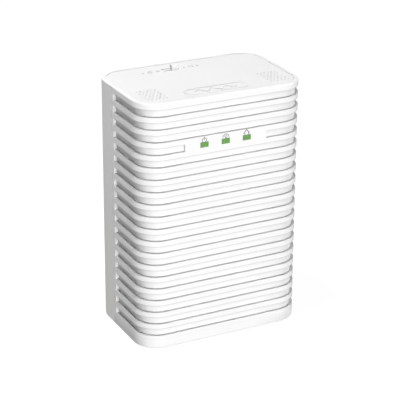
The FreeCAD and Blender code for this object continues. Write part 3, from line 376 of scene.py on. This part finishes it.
def metal(name, color, rough=0.3, along=(1.0, 1.0, 0.06), line_depth=0.003,
          tarnish=(0.75, 0.72, 0.68), tarnished=0.35, spangle=0.0):
    """Sheet or turned metal: drawn lines, faint tarnish, bright rubbed edges, dull corners.

    along stretches the drawn lines, and spangle is the strength of crystal flakes.
    """
    mat = Finish(name, color, rough, metallic=1.0)
    lines = mat.noise(7.0, detail=3.0, rough=0.6, stretch=along)
    cloud = mat.noise(0.35, detail=4.0, rough=0.6, shift=(5.0, 3.0, 9.0))
    body = mat.vary(lines, color, 0.94, 1.03)
    dulled = mat.times(mat.remap(cloud, 0.5, 0.75), tarnished)
    body = mat.mix(dulled, body, tuple(c * t for c, t in zip(color, tarnish)))
    if spangle > 0.0:
        flake = mat.cells(0.55, output="Color")
        body = mat.mix(spangle, body, mat.mix(1.0, body, flake, "OVERLAY"))
    is_open = mat.remap(mat.open_sky(0.8), 0.2, 0.8)
    body = mat.mix(is_open, mat.mix(1.0, body, (0.55, 0.53, 0.5), "MULTIPLY"), body)
    edge = mat.edge(0.15)
    mat.put("Base Color", mat.mix(mat.times(edge, 0.7), body, tint(color, 1.12)))
    uneven = mat.math("ADD", mat.remap(lines, 0.25, 0.75, rough - 0.06, rough + 0.08),
                      mat.times(dulled, 0.35), clamp=True)
    mat.put("Roughness", mat.math("SUBTRACT", uneven, mat.times(edge, 0.08), clamp=True))
    drawn = mat.bump(lines, line_depth, strength=0.8)
    dents = mat.noise(0.5, shift=(2.0, 8.0, 1.0))
    mat.put("Normal", mat.bump(dents, 0.02, strength=0.4, after=drawn))
    mat.put("Anisotropic", 0.3)
    return mat


def lamp_window(name):
    """Green light guide: bright at each lamp on the front face, dimmer further back."""
    color = (0.050, 0.130, 0.025)
    glow_half_width, glow_half_height = 2.4, 2.1
    mat = Finish(name, color, 0.22)
    x, y, z = mat.split(mat.point)
    frost = mat.noise(1.6, rough=0.6)
    glow = None
    for lamp_x in lamp_xs:
        across = mat.math("DIVIDE", mat.math("SUBTRACT", x, lamp_x), glow_half_width)
        height = mat.math("DIVIDE", mat.math("SUBTRACT", z, lamp_mid_z), glow_half_height)
        distance = mat.math("ADD", mat.times(across, across), mat.times(height, height))
        lamp = mat.remap(distance, 0.0, 1.0, 1.0, 0.0, smooth=True)
        glow = lamp if glow is None else mat.math("MAXIMUM", glow, lamp)
    face = mat.remap(y, front_y + 0.6, front_y + 0.1)
    glow = mat.times(glow, mat.remap(frost, 0.2, 0.8, 0.93, 1.05))
    power = mat.times(mat.math("ADD", 0.80, mat.times(glow, 0.32)),
                      mat.remap(face, 0.0, 1.0, 0.35, 1.0))
    mat.put("Base Color", mat.vary(frost, color, 0.94, 1.05))
    mat.put("Emission Color", (0.088, 0.205, 0.056))
    mat.put("Emission Strength", power)
    mat.put("Roughness", mat.swing(frost, 0.2, 0.32))
    mat.put("Normal", mat.bump(mat.noise(2.4), 0.006, strength=0.7))
    mat.put("Coat Weight", 0.25)
    mat.put("Coat Roughness", 0.12)
    return mat


def board(name, mask, track, laminate):
    """Circuit board: mask over tracks, pads and ground fill, bare laminate on cut edges."""
    mat = Finish(name, mask, 0.35)
    x, _, z = mat.split(mat.point)

    def track_lines(position, noise):
        """Evenly spaced lines that jog sideways in whole steps."""
        jog = mat.times(mat.math("ROUND", mat.times(noise, 6.0)), 2.0)
        wave = mat.math("PINGPONG", mat.math("ADD", position, jog), 0.64)
        return mat.math("LESS_THAN", wave, 0.2)

    upright = track_lines(x, mat.noise(0.10, detail=1.0, rough=0.3))
    level = track_lines(z, mat.noise(0.09, detail=1.0, rough=0.3, shift=(40.0, 9.0, 2.0)))
    choice = mat.noise(0.07, detail=0.0, rough=0.3, shift=(4.0, 17.0, 33.0))
    use_upright = mat.math("GREATER_THAN", choice, 0.5)
    use_level = mat.math("SUBTRACT", 1.0, use_upright)
    tracks = mat.math("ADD", mat.times(upright, use_upright), mat.times(level, use_level),
                      clamp=True)
    pad_cells = mat.cells(0.42, stretch=(1.0, 0.0, 1.0), randomness=0.55)
    pads = mat.math("LESS_THAN", pad_cells, 0.16)
    patches = mat.noise(0.12, detail=1.0, rough=0.4, shift=(9.0, 1.0, 7.0))
    fill = mat.math("GREATER_THAN", patches, 0.56)
    body = mat.mix(mat.times(fill, 0.35), mask, track)
    body = mat.mix(mat.times(tracks, 0.75), body, track)
    body = mat.mix(pads, body, (0.80, 0.72, 0.45))
    facing_y = mat.split(mat.facing())[1]
    cut_edge = mat.math("LESS_THAN", mat.math("ABSOLUTE", facing_y), 0.5)
    fibre = mat.noise(3.0, rough=0.6, stretch=(0.3, 6.0, 0.3))
    bare = mat.mix(fibre, tint(laminate, 0.8), tint(laminate, 1.2))
    mat.put("Base Color", mat.mix(cut_edge, body, bare))
    mat.put("Metallic", mat.times(pads, mat.math("SUBTRACT", 1.0, cut_edge)))
    mat.put("Roughness", mat.math("ADD", mat.swing(mat.noise(0.8), 0.28, 0.40),
                                  mat.times(cut_edge, 0.35), clamp=True))
    raised = mat.math("ADD", mat.times(tracks, 0.7), pads, clamp=True)
    relief = mat.bump(raised, 0.035, strength=0.8)
    mat.put("Normal", mat.bump(mat.noise(4.0), 0.004, strength=0.5, after=relief))
    return mat


def wound(name, color, pitch, axis, gap, metallic=0.0):
    """Wire or tape laid turn by turn along an axis. gap is the tint between turns."""
    rough = 0.28
    mat = Finish(name, color, rough, metallic)
    position = mat.split(mat.point)[axis]
    wander = mat.times(mat.noise(0.25), pitch * 0.5)
    turn = mat.math("PINGPONG", mat.math("ADD", position, wander), pitch / 2)
    crown = mat.remap(turn, 0.0, pitch / 2, smooth=True)
    body = mat.mix(crown, tint(color, gap), tint(color, 1.1))
    cloud = mat.noise(0.5, detail=3.0, rough=0.6)
    body = mat.mix(mat.remap(cloud, 0.5, 0.8, 0.0, 0.5), body, tint(color, 0.7))
    mat.put("Base Color", body)
    mat.put("Roughness", mat.remap(crown, 0.0, 1.0, rough + 0.25, rough))
    height = mat.math("ADD", crown, mat.times(mat.noise(5.0), 0.1))
    mat.put("Normal", mat.bump(height, pitch * 0.25, strength=0.9))
    return mat


def sleeve(name, color):
    """Shrink sleeve with pale slanting stripes."""
    mat = Finish(name, color, 0.25)
    x, _, z = mat.split(mat.point)
    slant = mat.math("PINGPONG", mat.math("ADD", x, z), 9.0)
    stripe = mat.math("LESS_THAN", slant, 1.1)
    body = mat.vary(mat.noise(0.4, detail=3.0), color, 0.9, 1.3)
    body = mat.mix(stripe, body, (0.62, 0.66, 0.70))
    body = mat.mix(mat.times(mat.edge(0.2), 0.5), body, tint(color, 2.2))
    mat.put("Base Color", body)
    mat.put("Roughness", mat.swing(mat.noise(1.4), 0.2, 0.34))
    ripple = mat.noise(0.9, detail=3.0, stretch=(1.0, 0.3, 1.0))
    mat.put("Normal", mat.bump(ripple, 0.05, strength=0.6))
    mat.put("Coat Weight", 0.4)
    return mat


def glass_tube(name, start_x, end_x):
    """Glass fuse body between two nickel caps."""
    mat = Finish(name, (0.85, 0.88, 0.88), 0.08)
    x = mat.split(mat.point)[0]
    glass = mat.times(mat.math("GREATER_THAN", x, start_x), mat.math("LESS_THAN", x, end_x))
    cap = mat.math("SUBTRACT", 1.0, glass)
    nickel = mat.mix(mat.noise(1.2, detail=3.0), (0.62, 0.61, 0.58), (0.8, 0.79, 0.76))
    mat.put("Base Color", mat.mix(cap, (0.9, 0.93, 0.93), nickel))
    mat.put("Metallic", cap)
    mat.put("Transmission Weight", mat.times(glass, 0.85))
    mat.put("Roughness", mat.swing(mat.noise(2.0), 0.05, 0.22))
    mat.put("Normal", mat.bump(mat.noise(1.1), 0.01, strength=0.5))
    return mat


def film(name, color):
    """Pressed paper or film sheet with fibres and soft creases."""
    mat = Finish(name, color, 0.45)
    fibre = mat.noise(1.8, detail=4.0, rough=0.7, stretch=(0.25, 1.0, 2.0))
    crease = mat.noise(0.08, detail=3.0, distort=0.6)
    body = mat.vary(fibre, color, 0.86, 1.08)
    body = mat.mix(mat.remap(crease, 0.55, 0.6, 0.0, 0.3), body, tint(color, 0.8))
    mat.put("Base Color", body)
    mat.put("Roughness", mat.swing(fibre, 0.38, 0.55))
    creased = mat.bump(crease, 0.15, strength=0.5)
    mat.put("Normal", mat.bump(fibre, 0.01, strength=0.8, after=creased))
    mat.put("Sheen Weight", 0.1)
    return mat


# Finish for each material slot name
finishes = {
    # The shell's corner, ledge, flank and lip factors paint shade into its colour
    "shell_white": moulded(
        "shell_white_moulded", (0.835, 0.835, 0.832), rough=0.46, worn=1.03, corner_shade=0.92,
        ledge=0.58, flank=0.80, lip=0.74, reach=1.6),
    # The panel gets a painted glow just below the shell top
    "panel_white": moulded(
        "panel_white_grained", (0.775, 0.775, 0.777), rough=0.58, grain=2.0,
        grain_depth=0.011, spread=0.012, worn=1.05, corner_shade=0.98, reach=0.8,
        painted_glow=dict(height=shell_top - 0.06, amount=0.10, front=0.0)),
    "plug_white": moulded(
        "plug_white_moulded", (0.80, 0.80, 0.79), rough=0.42, grain=3.2, corner_shade=0.72, reach=2.0),
    # The knob gets painted shade on its left faces and a painted glow on its front and below
    # the shell top
    "knob_white": moulded(
        "knob_white_moulded", (0.84, 0.84, 0.835), rough=0.30, grain=3.5, grain_depth=0.003,
        corner_shade=0.98, reach=0.9, specular=0.5, left=0.60,
        painted_glow=dict(height=shell_top - 0.6, amount=0.28, front=0.22)),
    "black_nylon": moulded(
        "nylon_black_moulded", (0.035, 0.035, 0.038), rough=0.45, spread=0.2, worn=1.9,
        corner_shade=0.6),
    "jack_black": moulded(
        "jack_black_moulded", (0.030, 0.030, 0.033), rough=0.38, spread=0.2, worn=2.0,
        corner_shade=0.6),
    "plunger_plastic": moulded(
        "plunger_dark_moulded", (0.075, 0.075, 0.082), rough=0.35, spread=0.15, worn=1.7,
        corner_shade=0.6),
    "chip_black": moulded(
        "chip_epoxy_moulded", (0.028, 0.028, 0.031), rough=0.55, grain=4.0, grain_depth=0.01,
        spread=0.25, worn=2.2),
    "led_body": moulded(
        "led_clear_body", (0.78, 0.80, 0.70), rough=0.18, grain=4.0, grain_depth=0.002,
        spread=0.05),
    "thermal_grey": moulded(
        "thermal_pad_soft", (0.36, 0.39, 0.46), rough=0.75, grain=1.2, grain_depth=0.05,
        spread=0.08, worn=1.1),
    "cable_grey": moulded(
        "cable_jacket", (0.23, 0.23, 0.24), rough=0.42, grain=3.0, spread=0.1, worn=1.3),
    "ferrite": moulded(
        "ferrite_sintered", (0.075, 0.074, 0.078), rough=0.62, grain=1.5, grain_depth=0.05,
        spread=0.25, worn=2.0),
    "film_cap": moulded(
        "film_capacitor_case", (0.66, 0.50, 0.10), rough=0.30, grain=3.0, spread=0.06,
        worn=1.2),
    "disc_blue": moulded(
        "disc_epoxy_dip", (0.05, 0.16, 0.44), rough=0.22, grain=0.8, grain_depth=0.02,
        wave_depth=0.12, spread=0.15, worn=1.4),
    "screw_steel": metal("screw_zinc_steel", (0.58, 0.58, 0.60), along=(1.0, 0.1, 1.0)),
    "nickel_brass": metal(
        "nickel_plated_brass", (0.78, 0.765, 0.73), rough=0.20, along=(1.0, 0.05, 1.0),
        line_depth=0.002, tarnished=0.25),
    "spring_steel": metal(
        "tinned_spring_steel", (0.66, 0.66, 0.655), rough=0.28, along=(1.0, 0.06, 1.0)),
    "tin_steel": metal(
        "tin_plated_sheet", (0.70, 0.70, 0.69), rough=0.32, along=(1.0, 1.0, 0.05),
        spangle=0.10),
    "fin_aluminium": metal(
        "anodised_aluminium", (0.56, 0.57, 0.59), rough=0.38, along=(1.0, 1.0, 0.04),
        line_depth=0.006),
    "gold_contact": metal(
        "gold_flash_contact", (0.83, 0.61, 0.24), rough=0.22, along=(1.0, 1.0, 0.05),
        tarnish=(0.7, 0.6, 0.5)),
    "antenna_foil": metal(
        "antenna_copper_foil", (0.70, 0.42, 0.20), rough=0.35, along=(1.0, 0.1, 1.0),
        tarnish=(0.7, 0.8, 0.7)),
    "lamp_green": lamp_window("lamp_window_green"),
    "board_green": board(
        "board_green_mask", mask=(0.012, 0.105, 0.040), track=(0.030, 0.190, 0.075),
        laminate=(0.45, 0.42, 0.25)),
    "board_brown": board(
        "board_brown_laminate", mask=(0.30, 0.17, 0.06), track=(0.42, 0.25, 0.10),
        laminate=(0.36, 0.22, 0.09)),
    "insulating_film": film("insulating_paper", (0.74, 0.64, 0.34)),
    "coil_tape": wound(
        "winding_polyester_tape", (0.80, 0.55, 0.06), pitch=3.1, axis=0, gap=0.8),
    "copper_coil": wound(
        "choke_enamelled_wire", (0.62, 0.25, 0.08), pitch=0.8, axis=2, gap=0.35,
        metallic=0.8),
    "cap_sleeve": sleeve("capacitor_shrink_sleeve", (0.022, 0.030, 0.075)),
    "fuse_glass": glass_tube(
        "fuse_glass_tube", fuse_lo.x / MM + FUSE_CAP, fuse_hi.x / MM - FUSE_CAP),
}
# The rear shell's corner and ledge factors paint shade into its colour
rear_white = moulded(
    "rear_white_moulded", (0.852, 0.852, 0.848), rough=0.48, worn=1.02, corner_shade=0.88, ledge=0.7,
    reach=1.6, warm=(1.0, 0.995, 0.975))

for obj in nodes.values():
    for slot in obj.material_slots:
        key = slot.material.name.split(".")[0] if slot.material else ""
        if key in finishes:
            slot.material = finishes[key].material
nodes["rear_shell"].material_slots[0].material = rear_white.material


# --------------------------------------------------------------------------
# Raised and printed marks, built as closed strokes
# --------------------------------------------------------------------------
STROKE_STEP = 0.25  # longest even span aimed for along a stroke
CAP_STEPS = 6       # spans in each round stroke end
CAP_TIP = 0.03      # width left at the tip of an end, as a part of the stroke's


def arc(centre_x, centre_y, radius, start, end, steps):
    """Points along an arc, with angles in degrees."""
    angles = [math.radians(start + (end - start) * k / steps) for k in range(steps + 1)]
    return [(centre_x + radius * math.cos(a), centre_y + radius * math.sin(a)) for a in angles]


def dense(points, closed):
    """Add points along straight runs so that a stroke has even spans."""
    corners = [Vector(p) for p in points]
    result = []
    for k in range(len(corners) if closed else len(corners) - 1):
        start, end = corners[k], corners[(k + 1) % len(corners)]
        spans = max(1, int((end - start).length / STROKE_STEP))
        result += [start.lerp(end, i / spans) for i in range(spans)]
    if not closed:
        result.append(corners[-1])
    return result


def stations(points, closed, half):
    """(centre, sideways, half width) along a stroke, with round ends on an open one."""
    count = len(points)
    run = []
    for k, point in enumerate(points):
        before = points[k - 1] if (closed or k > 0) else None
        after = points[(k + 1) % count] if (closed or k < count - 1) else None
        origin, end = (before, point) if before is not None else (point, after)
        arriving = (end - origin).normalized()
        leaving = (after - point).normalized() if after is not None else arriving
        total = arriving + leaving
        along = total.normalized() if total.length > 1e-6 else arriving
        mitre = min(1.6, 1.0 / max(0.3, along.dot(arriving)))
        run.append((point, Vector((-along.y, along.x)), half * mitre))
    if closed:
        return run
    first, first_side, _ = run[0]
    last, last_side, _ = run[-1]
    back = Vector((-first_side.y, first_side.x))
    ahead = Vector((last_side.y, -last_side.x))
    turns = [math.radians(90.0 * k / CAP_STEPS) for k in range(CAP_STEPS + 1)]
    head = [(first + back * half * math.cos(a), first_side, half * math.sin(a))
            for a in turns[:-1]]
    tail = [(last + ahead * half * math.sin(a), last_side, half * math.cos(a))
            for a in turns[1:]]
    head[0] = (head[0][0], first_side, half * CAP_TIP)
    tail[-1] = (tail[-1][0], last_side, half * CAP_TIP)
    return head + run + tail


def side_profile(edge, high, sunk, round_r):
    """(out, height) up one side of a stroke or dot and over its rounded shoulder."""
    radius = min(round_r, edge * 0.7, high * 0.8)
    profile = [(edge, -sunk), (edge, high - radius)]
    if radius > 0:
        profile += [(edge - radius * (1 - math.cos(math.radians(a))),
                     high - radius + radius * math.sin(math.radians(a))) for a in (30, 60, 90)]
    return profile


def bridge(mesh, ring, following):
    for k in range(len(ring)):
        j = (k + 1) % len(ring)
        mesh.faces.new((ring[k], ring[j], following[j], following[k]))


def sweep(mesh, points, width, high, sunk, place, closed=False, round_r=0.0):
    """A stroke standing `high` above the surface and `sunk` into it."""
    rings = []
    for centre, side, half in stations(dense(points, closed), closed, width / 2):
        right = side_profile(half, high, sunk, round_r)
        section = [(-out, height) for out, height in right]
        if round_r == 0:
            section += [(-half * 0.5, high), (0.0, high), (half * 0.5, high)]
        section += right[::-1]
        rings.append([mesh.verts.new(place(centre.x + side.x * s, centre.y + side.y * s, h))
                      for s, h in section])
    for ring, following in zip(rings, rings[1:]):
        bridge(mesh, ring, following)
    if closed:
        bridge(mesh, rings[-1], rings[0])
    else:
        mesh.faces.new(rings[0][::-1])
        mesh.faces.new(rings[-1])


def disc(mesh, centre_x, centre_y, radius, high, sunk, place, round_r=0.0):
    """A round dot."""
    around = 24
    turns = [2 * math.pi * k / around for k in range(around)]
    profile = side_profile(radius, high, sunk, round_r) + [(radius * 0.25, high)]
    rings = [[mesh.verts.new(place(centre_x + out * math.cos(a), centre_y + out * math.sin(a),
                                   height)) for a in turns] for out, height in profile]
    for ring, following in zip(rings, rings[1:]):
        bridge(mesh, ring, following)
    mesh.faces.new(rings[-1])
    mesh.faces.new(rings[0][::-1])


def piece(name, build, finish):
    """Make one mark on the housing from a function that fills a bmesh."""
    draft = bmesh.new()
    build(draft)
    bmesh.ops.remove_doubles(draft, verts=draft.verts, dist=1e-8)
    bmesh.ops.recalc_face_normals(draft, faces=draft.faces)
    mesh = bpy.data.meshes.new(name)
    draft.to_mesh(mesh)
    draft.free()
    for poly in mesh.polygons:
        poly.use_smooth = True
    mark = bpy.data.objects.new(name, mesh)
    bpy.context.scene.collection.objects.link(mark)
    mesh.materials.append(finish.material)
    mesh.set_sharp_from_angle(angle=math.radians(38))
    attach(mark, "housing")


def on_front(x, z, out):
    return Vector((x, front_y - out, z)) * MM


def on_top(x, y, out):
    return Vector((x, y, panel_hi.z / MM + out)) * MM


def on_bottom(x, y, out):
    return Vector((x, y, shell_lo.z / MM - out)) * MM


FRONT_INK = dict(high=0.02, sunk=0.03, place=on_front)
BOTTOM_INK = dict(high=0.02, sunk=0.03, place=on_bottom)
RAISED = dict(high=0.14, sunk=0.05, round_r=0.06, place=on_top)

# Icons beside the lamps
ICON_WIDTH = 0.30
icon_z = pipe_hi.z / MM - 0.22


def icon_power(mesh):
    x = lamp_xs[0] - 0.1
    z = icon_z
    sweep(mesh, arc(x, z, 0.84, 122, 418, 28), width=ICON_WIDTH * 0.9, **FRONT_INK)
    sweep(mesh, [(x, z + 0.05), (x, z + 1.12)], width=ICON_WIDTH, **FRONT_INK)


def icon_radio(mesh):
    x = lamp_xs[1] + 0.05
    z = icon_z - 0.35
    disc(mesh, x, z, radius=0.30, **FRONT_INK)
    sweep(mesh, arc(x, z, 0.70, 20, 160, 14), width=ICON_WIDTH * 0.5, **FRONT_INK)
    sweep(mesh, arc(x, z, 1.26, 8, 172, 20), width=ICON_WIDTH * 0.85, **FRONT_INK)


def icon_house(mesh):
    x = lamp_xs[2] - 0.1
    z = icon_z - 0.55
    roof = [(x - 1.15, z + 0.45), (x, z + 1.85), (x + 1.15, z + 0.45)]
    walls = [(x - 0.72, z + 0.55), (x - 0.72, z - 0.3), (x + 0.72, z - 0.3),
             (x + 0.72, z + 0.55)]
    sweep(mesh, roof, width=ICON_WIDTH, **FRONT_INK)
    sweep(mesh, walls, width=ICON_WIDTH * 0.8, **FRONT_INK)


# Marks beside the switch: a ring for off and two bars for on, each between a dot and a tick
knob_mid = (knob_lo.x + knob_hi.x) / 2 / MM
mark_y = (knob_lo.y + knob_hi.y) / 2 / MM


def marks_off(mesh):
    x = knob_mid - 9.6
    disc(mesh, x - 2.7, mark_y, radius=0.50, **RAISED)
    ring = arc(x, mark_y, 0.78, 0, 345, 30)[:-1]
    sweep(mesh, ring, width=0.36, closed=True, **RAISED)
    tick = [(x + 3.6, mark_y - 0.62), (x + 2.7, mark_y), (x + 3.6, mark_y + 0.62)]
    sweep(mesh, tick, width=0.40, **RAISED)


def marks_on(mesh):
    x = knob_mid + 7.2
    disc(mesh, x - 3.0, mark_y, radius=0.36, **RAISED)
    for bar_x in (x - 0.7, x + 0.5):
        sweep(mesh, [(bar_x, mark_y - 0.70), (bar_x, mark_y + 0.70)], width=0.44, **RAISED)
    tick = [(x + 2.1, mark_y - 0.58), (x + 2.8, mark_y), (x + 2.1, mark_y + 0.58)]
    sweep(mesh, tick, width=0.38, **RAISED)


def badge(mesh):
    """A pill outline round one wavy line, near the front of the top."""
    x = (panel_lo.x + panel_hi.x) / 2 / MM - 0.5
    y = panel_lo.y / MM + 5.6
    pill_r = 2.9
    straight_half = 12.4 - pill_r
    wave_half, wave_height, waves, steps = 8.2, 1.35, 3, 64
    pill = (arc(x + straight_half, y, pill_r, -90, 90, 20)
            + arc(x - straight_half, y, pill_r, 90, 270, 20))
    sweep(mesh, pill, width=0.36, high=0.17, sunk=0.05, place=on_top, closed=True,
          round_r=0.06)
    wave = [(x - wave_half + 2 * wave_half * k / steps,
             y + wave_height * math.sin(2 * math.pi * waves * k / steps))
            for k in range(steps + 1)]
    sweep(mesh, wave, width=0.50, high=0.24, sunk=0.05, place=on_top, round_r=0.07)


def jack_mark(mesh):
    """Three small boxes behind the jack, joined by a stem and a fork."""
    x = (jack_lo.x + jack_hi.x) / 2 / MM
    y = jack_hi.y / MM + 3.2
    box_corners = ((-0.55, -0.45), (0.55, -0.45), (0.55, 0.45), (-0.55, 0.45))
    for box_x, box_y in ((0.0, 0.0), (-1.5, 1.9), (1.5, 1.9)):
        outline = [(x + box_x + across, y + box_y + along) for across, along in box_corners]
        sweep(mesh, outline, width=0.2, closed=True, **BOTTOM_INK)
    fork = [(x - 1.5, y + 1.45), (x - 1.5, y + 0.95), (x + 1.5, y + 0.95),
            (x + 1.5, y + 1.45)]
    sweep(mesh, [(x, y + 0.45), (x, y + 0.95)], width=0.2, **BOTTOM_INK)
    sweep(mesh, fork, width=0.2, **BOTTOM_INK)


ink = moulded(
    "marking_ink_grey", (0.22, 0.22, 0.23), rough=0.40, grain=6.0, grain_depth=0.003,
    spread=0.06, worn=1.02, corner_shade=0.95, reach=0.3)
mark_grey = moulded(
    "marking_grey_soft", (0.61, 0.61, 0.61), rough=0.46, grain=5.0, grain_depth=0.004,
    spread=0.04, worn=1.03, corner_shade=0.92, reach=0.4)

piece("lamp_icon_power", icon_power, ink)
piece("lamp_icon_radio", icon_radio, ink)
piece("lamp_icon_house", icon_house, ink)
piece("switch_marks_off", marks_off, mark_grey)
piece("switch_marks_on", marks_on, mark_grey)
piece("top_badge_wave", badge, finishes["panel_white"])
piece("jack_mark", jack_mark, ink)


# --------------------------------------------------------------------------
# Stage, in metres: pale floor, soft lights, camera
# --------------------------------------------------------------------------
FLOOR_SIZE = 6.0
FLOOR_GAP = 0.00002

scene = bpy.context.scene
scene.view_settings.view_transform = "Standard"
scene.view_settings.look = "None"


def floor_material():
    """Glowing floor seen only by the camera and only from above, fading to plain white."""
    material = new_material("floor_pale", (0.8, 0.8, 0.8), 0.9)
    mat = Graph(material.node_tree)
    output = mat.add("ShaderNodeOutputMaterial")
    path = mat.add("ShaderNodeLightPath")
    geometry = mat.add("ShaderNodeNewGeometry")
    flat = mat.vec("MULTIPLY", geometry.outputs["Position"], (1.0, 1.0, 0.0))
    away = mat.remap(mat.vec("LENGTH", flat), 0.15, 0.60, smooth=True)
    diffuse = mat.add("ShaderNodeBsdfDiffuse")
    mat.feed(diffuse, "Color", mat.mix(away, grey(0.13), grey(0.0)))
    glow = mat.add("ShaderNodeEmission")
    mat.feed(glow, "Color", grey(1.0))
    mat.feed(glow, "Strength", mat.remap(away, 0.0, 1.0, 0.92, 1.02))
    both = mat.add("ShaderNodeAddShader")
    mat.feed(both, 0, diffuse.outputs[0])
    mat.feed(both, 1, glow.outputs[0])
    clear = mat.add("ShaderNodeBsdfTransparent")
    from_above = mat.math("SUBTRACT", 1.0, geometry.outputs["Backfacing"])
    seen = mat.times(path.outputs["Is Camera Ray"], from_above)
    mat.feed(output, "Surface", mat.mix_shaders(seen, clear.outputs[0], both.outputs[0]))
    return material


def build_floor():
    mesh = bpy.data.meshes.new("floor")
    draft = bmesh.new()
    bmesh.ops.create_grid(draft, x_segments=8, y_segments=8, size=FLOOR_SIZE)
    draft.to_mesh(mesh)
    draft.free()
    floor = bpy.data.objects.new("floor", mesh)
    floor.location = (0.0, 0.0, shell_lo.z - FLOOR_GAP)
    scene.collection.objects.link(floor)
    mesh.materials.append(floor_material())


def build_world():
    """White to the camera. As a light, dim above the horizon and brighter below it."""
    world = bpy.data.worlds.new("studio")
    scene.world = world
    world.use_nodes = True
    sky = Graph(world.node_tree)
    output = sky.add("ShaderNodeOutputWorld")
    direction_z = sky.split(sky.add("ShaderNodeTexCoord").outputs["Generated"])[2]
    lit = sky.add("ShaderNodeBackground")
    sky.feed(lit, "Strength", sky.remap(direction_z, 0.05, -0.05, 0.02, 0.48, smooth=True))
    plain = sky.add("ShaderNodeBackground")
    sky.feed(plain, "Color", grey(1.0))
    sky.feed(plain, "Strength", 1.0)
    to_camera = sky.add("ShaderNodeLightPath").outputs["Is Camera Ray"]
    sky.feed(output, "Surface", sky.mix_shaders(to_camera, lit.outputs[0], plain.outputs[0]))


LIGHT_AIM = Vector((0.0, -0.035, -0.012))

# name, azimuth and elevation in degrees, distance, width, height, strength
# Azimuth 0 is in front and 90 at +X. Strength 1 renders a white surface facing it white.
SOFTBOXES = (
    ("key_front", 0.0, 0.0, 1.2, 0.3, 0.2, 0.59),
    ("key_right", 20.0, 0.0, 1.2, 0.3, 0.2, 0.08),
    ("fill_left", -25.0, 0.0, 1.2, 0.3, 0.2, 0.30),
    ("overhead", -90.0, 72.0, 1.2, 0.3, 0.3, 0.80),
    ("high_right", 90.0, 60.0, 1.2, 0.3, 0.3, 0.28),
    ("behind", 180.0, 20.0, 1.4, 0.6, 0.4, 0.45),
)


def outward(azimuth, elevation):
    """Unit vector from the object towards a light or the camera, from angles in degrees."""
    turn, rise = math.radians(azimuth), math.radians(elevation)
    return Vector((math.sin(turn) * math.cos(rise), -math.cos(turn) * math.cos(rise),
                   math.sin(rise)))


def softbox(name, azimuth, elevation, distance, width, height, strength):
    out = outward(azimuth, elevation)
    data = bpy.data.lights.new(name, "AREA")
    data.shape = "RECTANGLE"
    data.size, data.size_y = width, height
    data.energy = math.pi * math.pi * distance * distance * strength
    light = bpy.data.objects.new(name, data)
    light.location = LIGHT_AIM + out * distance
    light.rotation_mode = "QUATERNION"
    light.rotation_quaternion = (-out).to_track_quat("-Z", "Y")
    light.visible_camera = False
    scene.collection.objects.link(light)


def build_camera():
    """Long lens from the front left, looking slightly down."""
    data = bpy.data.cameras.new("camera")
    camera = bpy.data.objects.new("camera", data)
    scene.collection.objects.link(camera)
    scene.camera = camera
    data.sensor_width = 36.0
    data.lens = 146.26
    data.clip_start, data.clip_end = 0.01, 30.0
    roll = math.radians(0.304)
    distance = 583.6
    target = Vector((-10.374, front_y, -3.491)) * MM
    back = outward(azimuth=-26.762, elevation=22.578)
    right = (-back).cross(Vector((0.0, 0.0, 1.0))).normalized()
    up = right.cross(-back)
    axis_x = right * math.cos(roll) + up * math.sin(roll)
    axis_y = -right * math.sin(roll) + up * math.cos(roll)
    camera.rotation_mode = "QUATERNION"
    camera.rotation_quaternion = Matrix((axis_x, axis_y, back)).transposed().to_quaternion()
    camera.location = target + back * distance * MM


build_floor()
build_world()
for row in SOFTBOXES:
    softbox(*row)
build_camera()
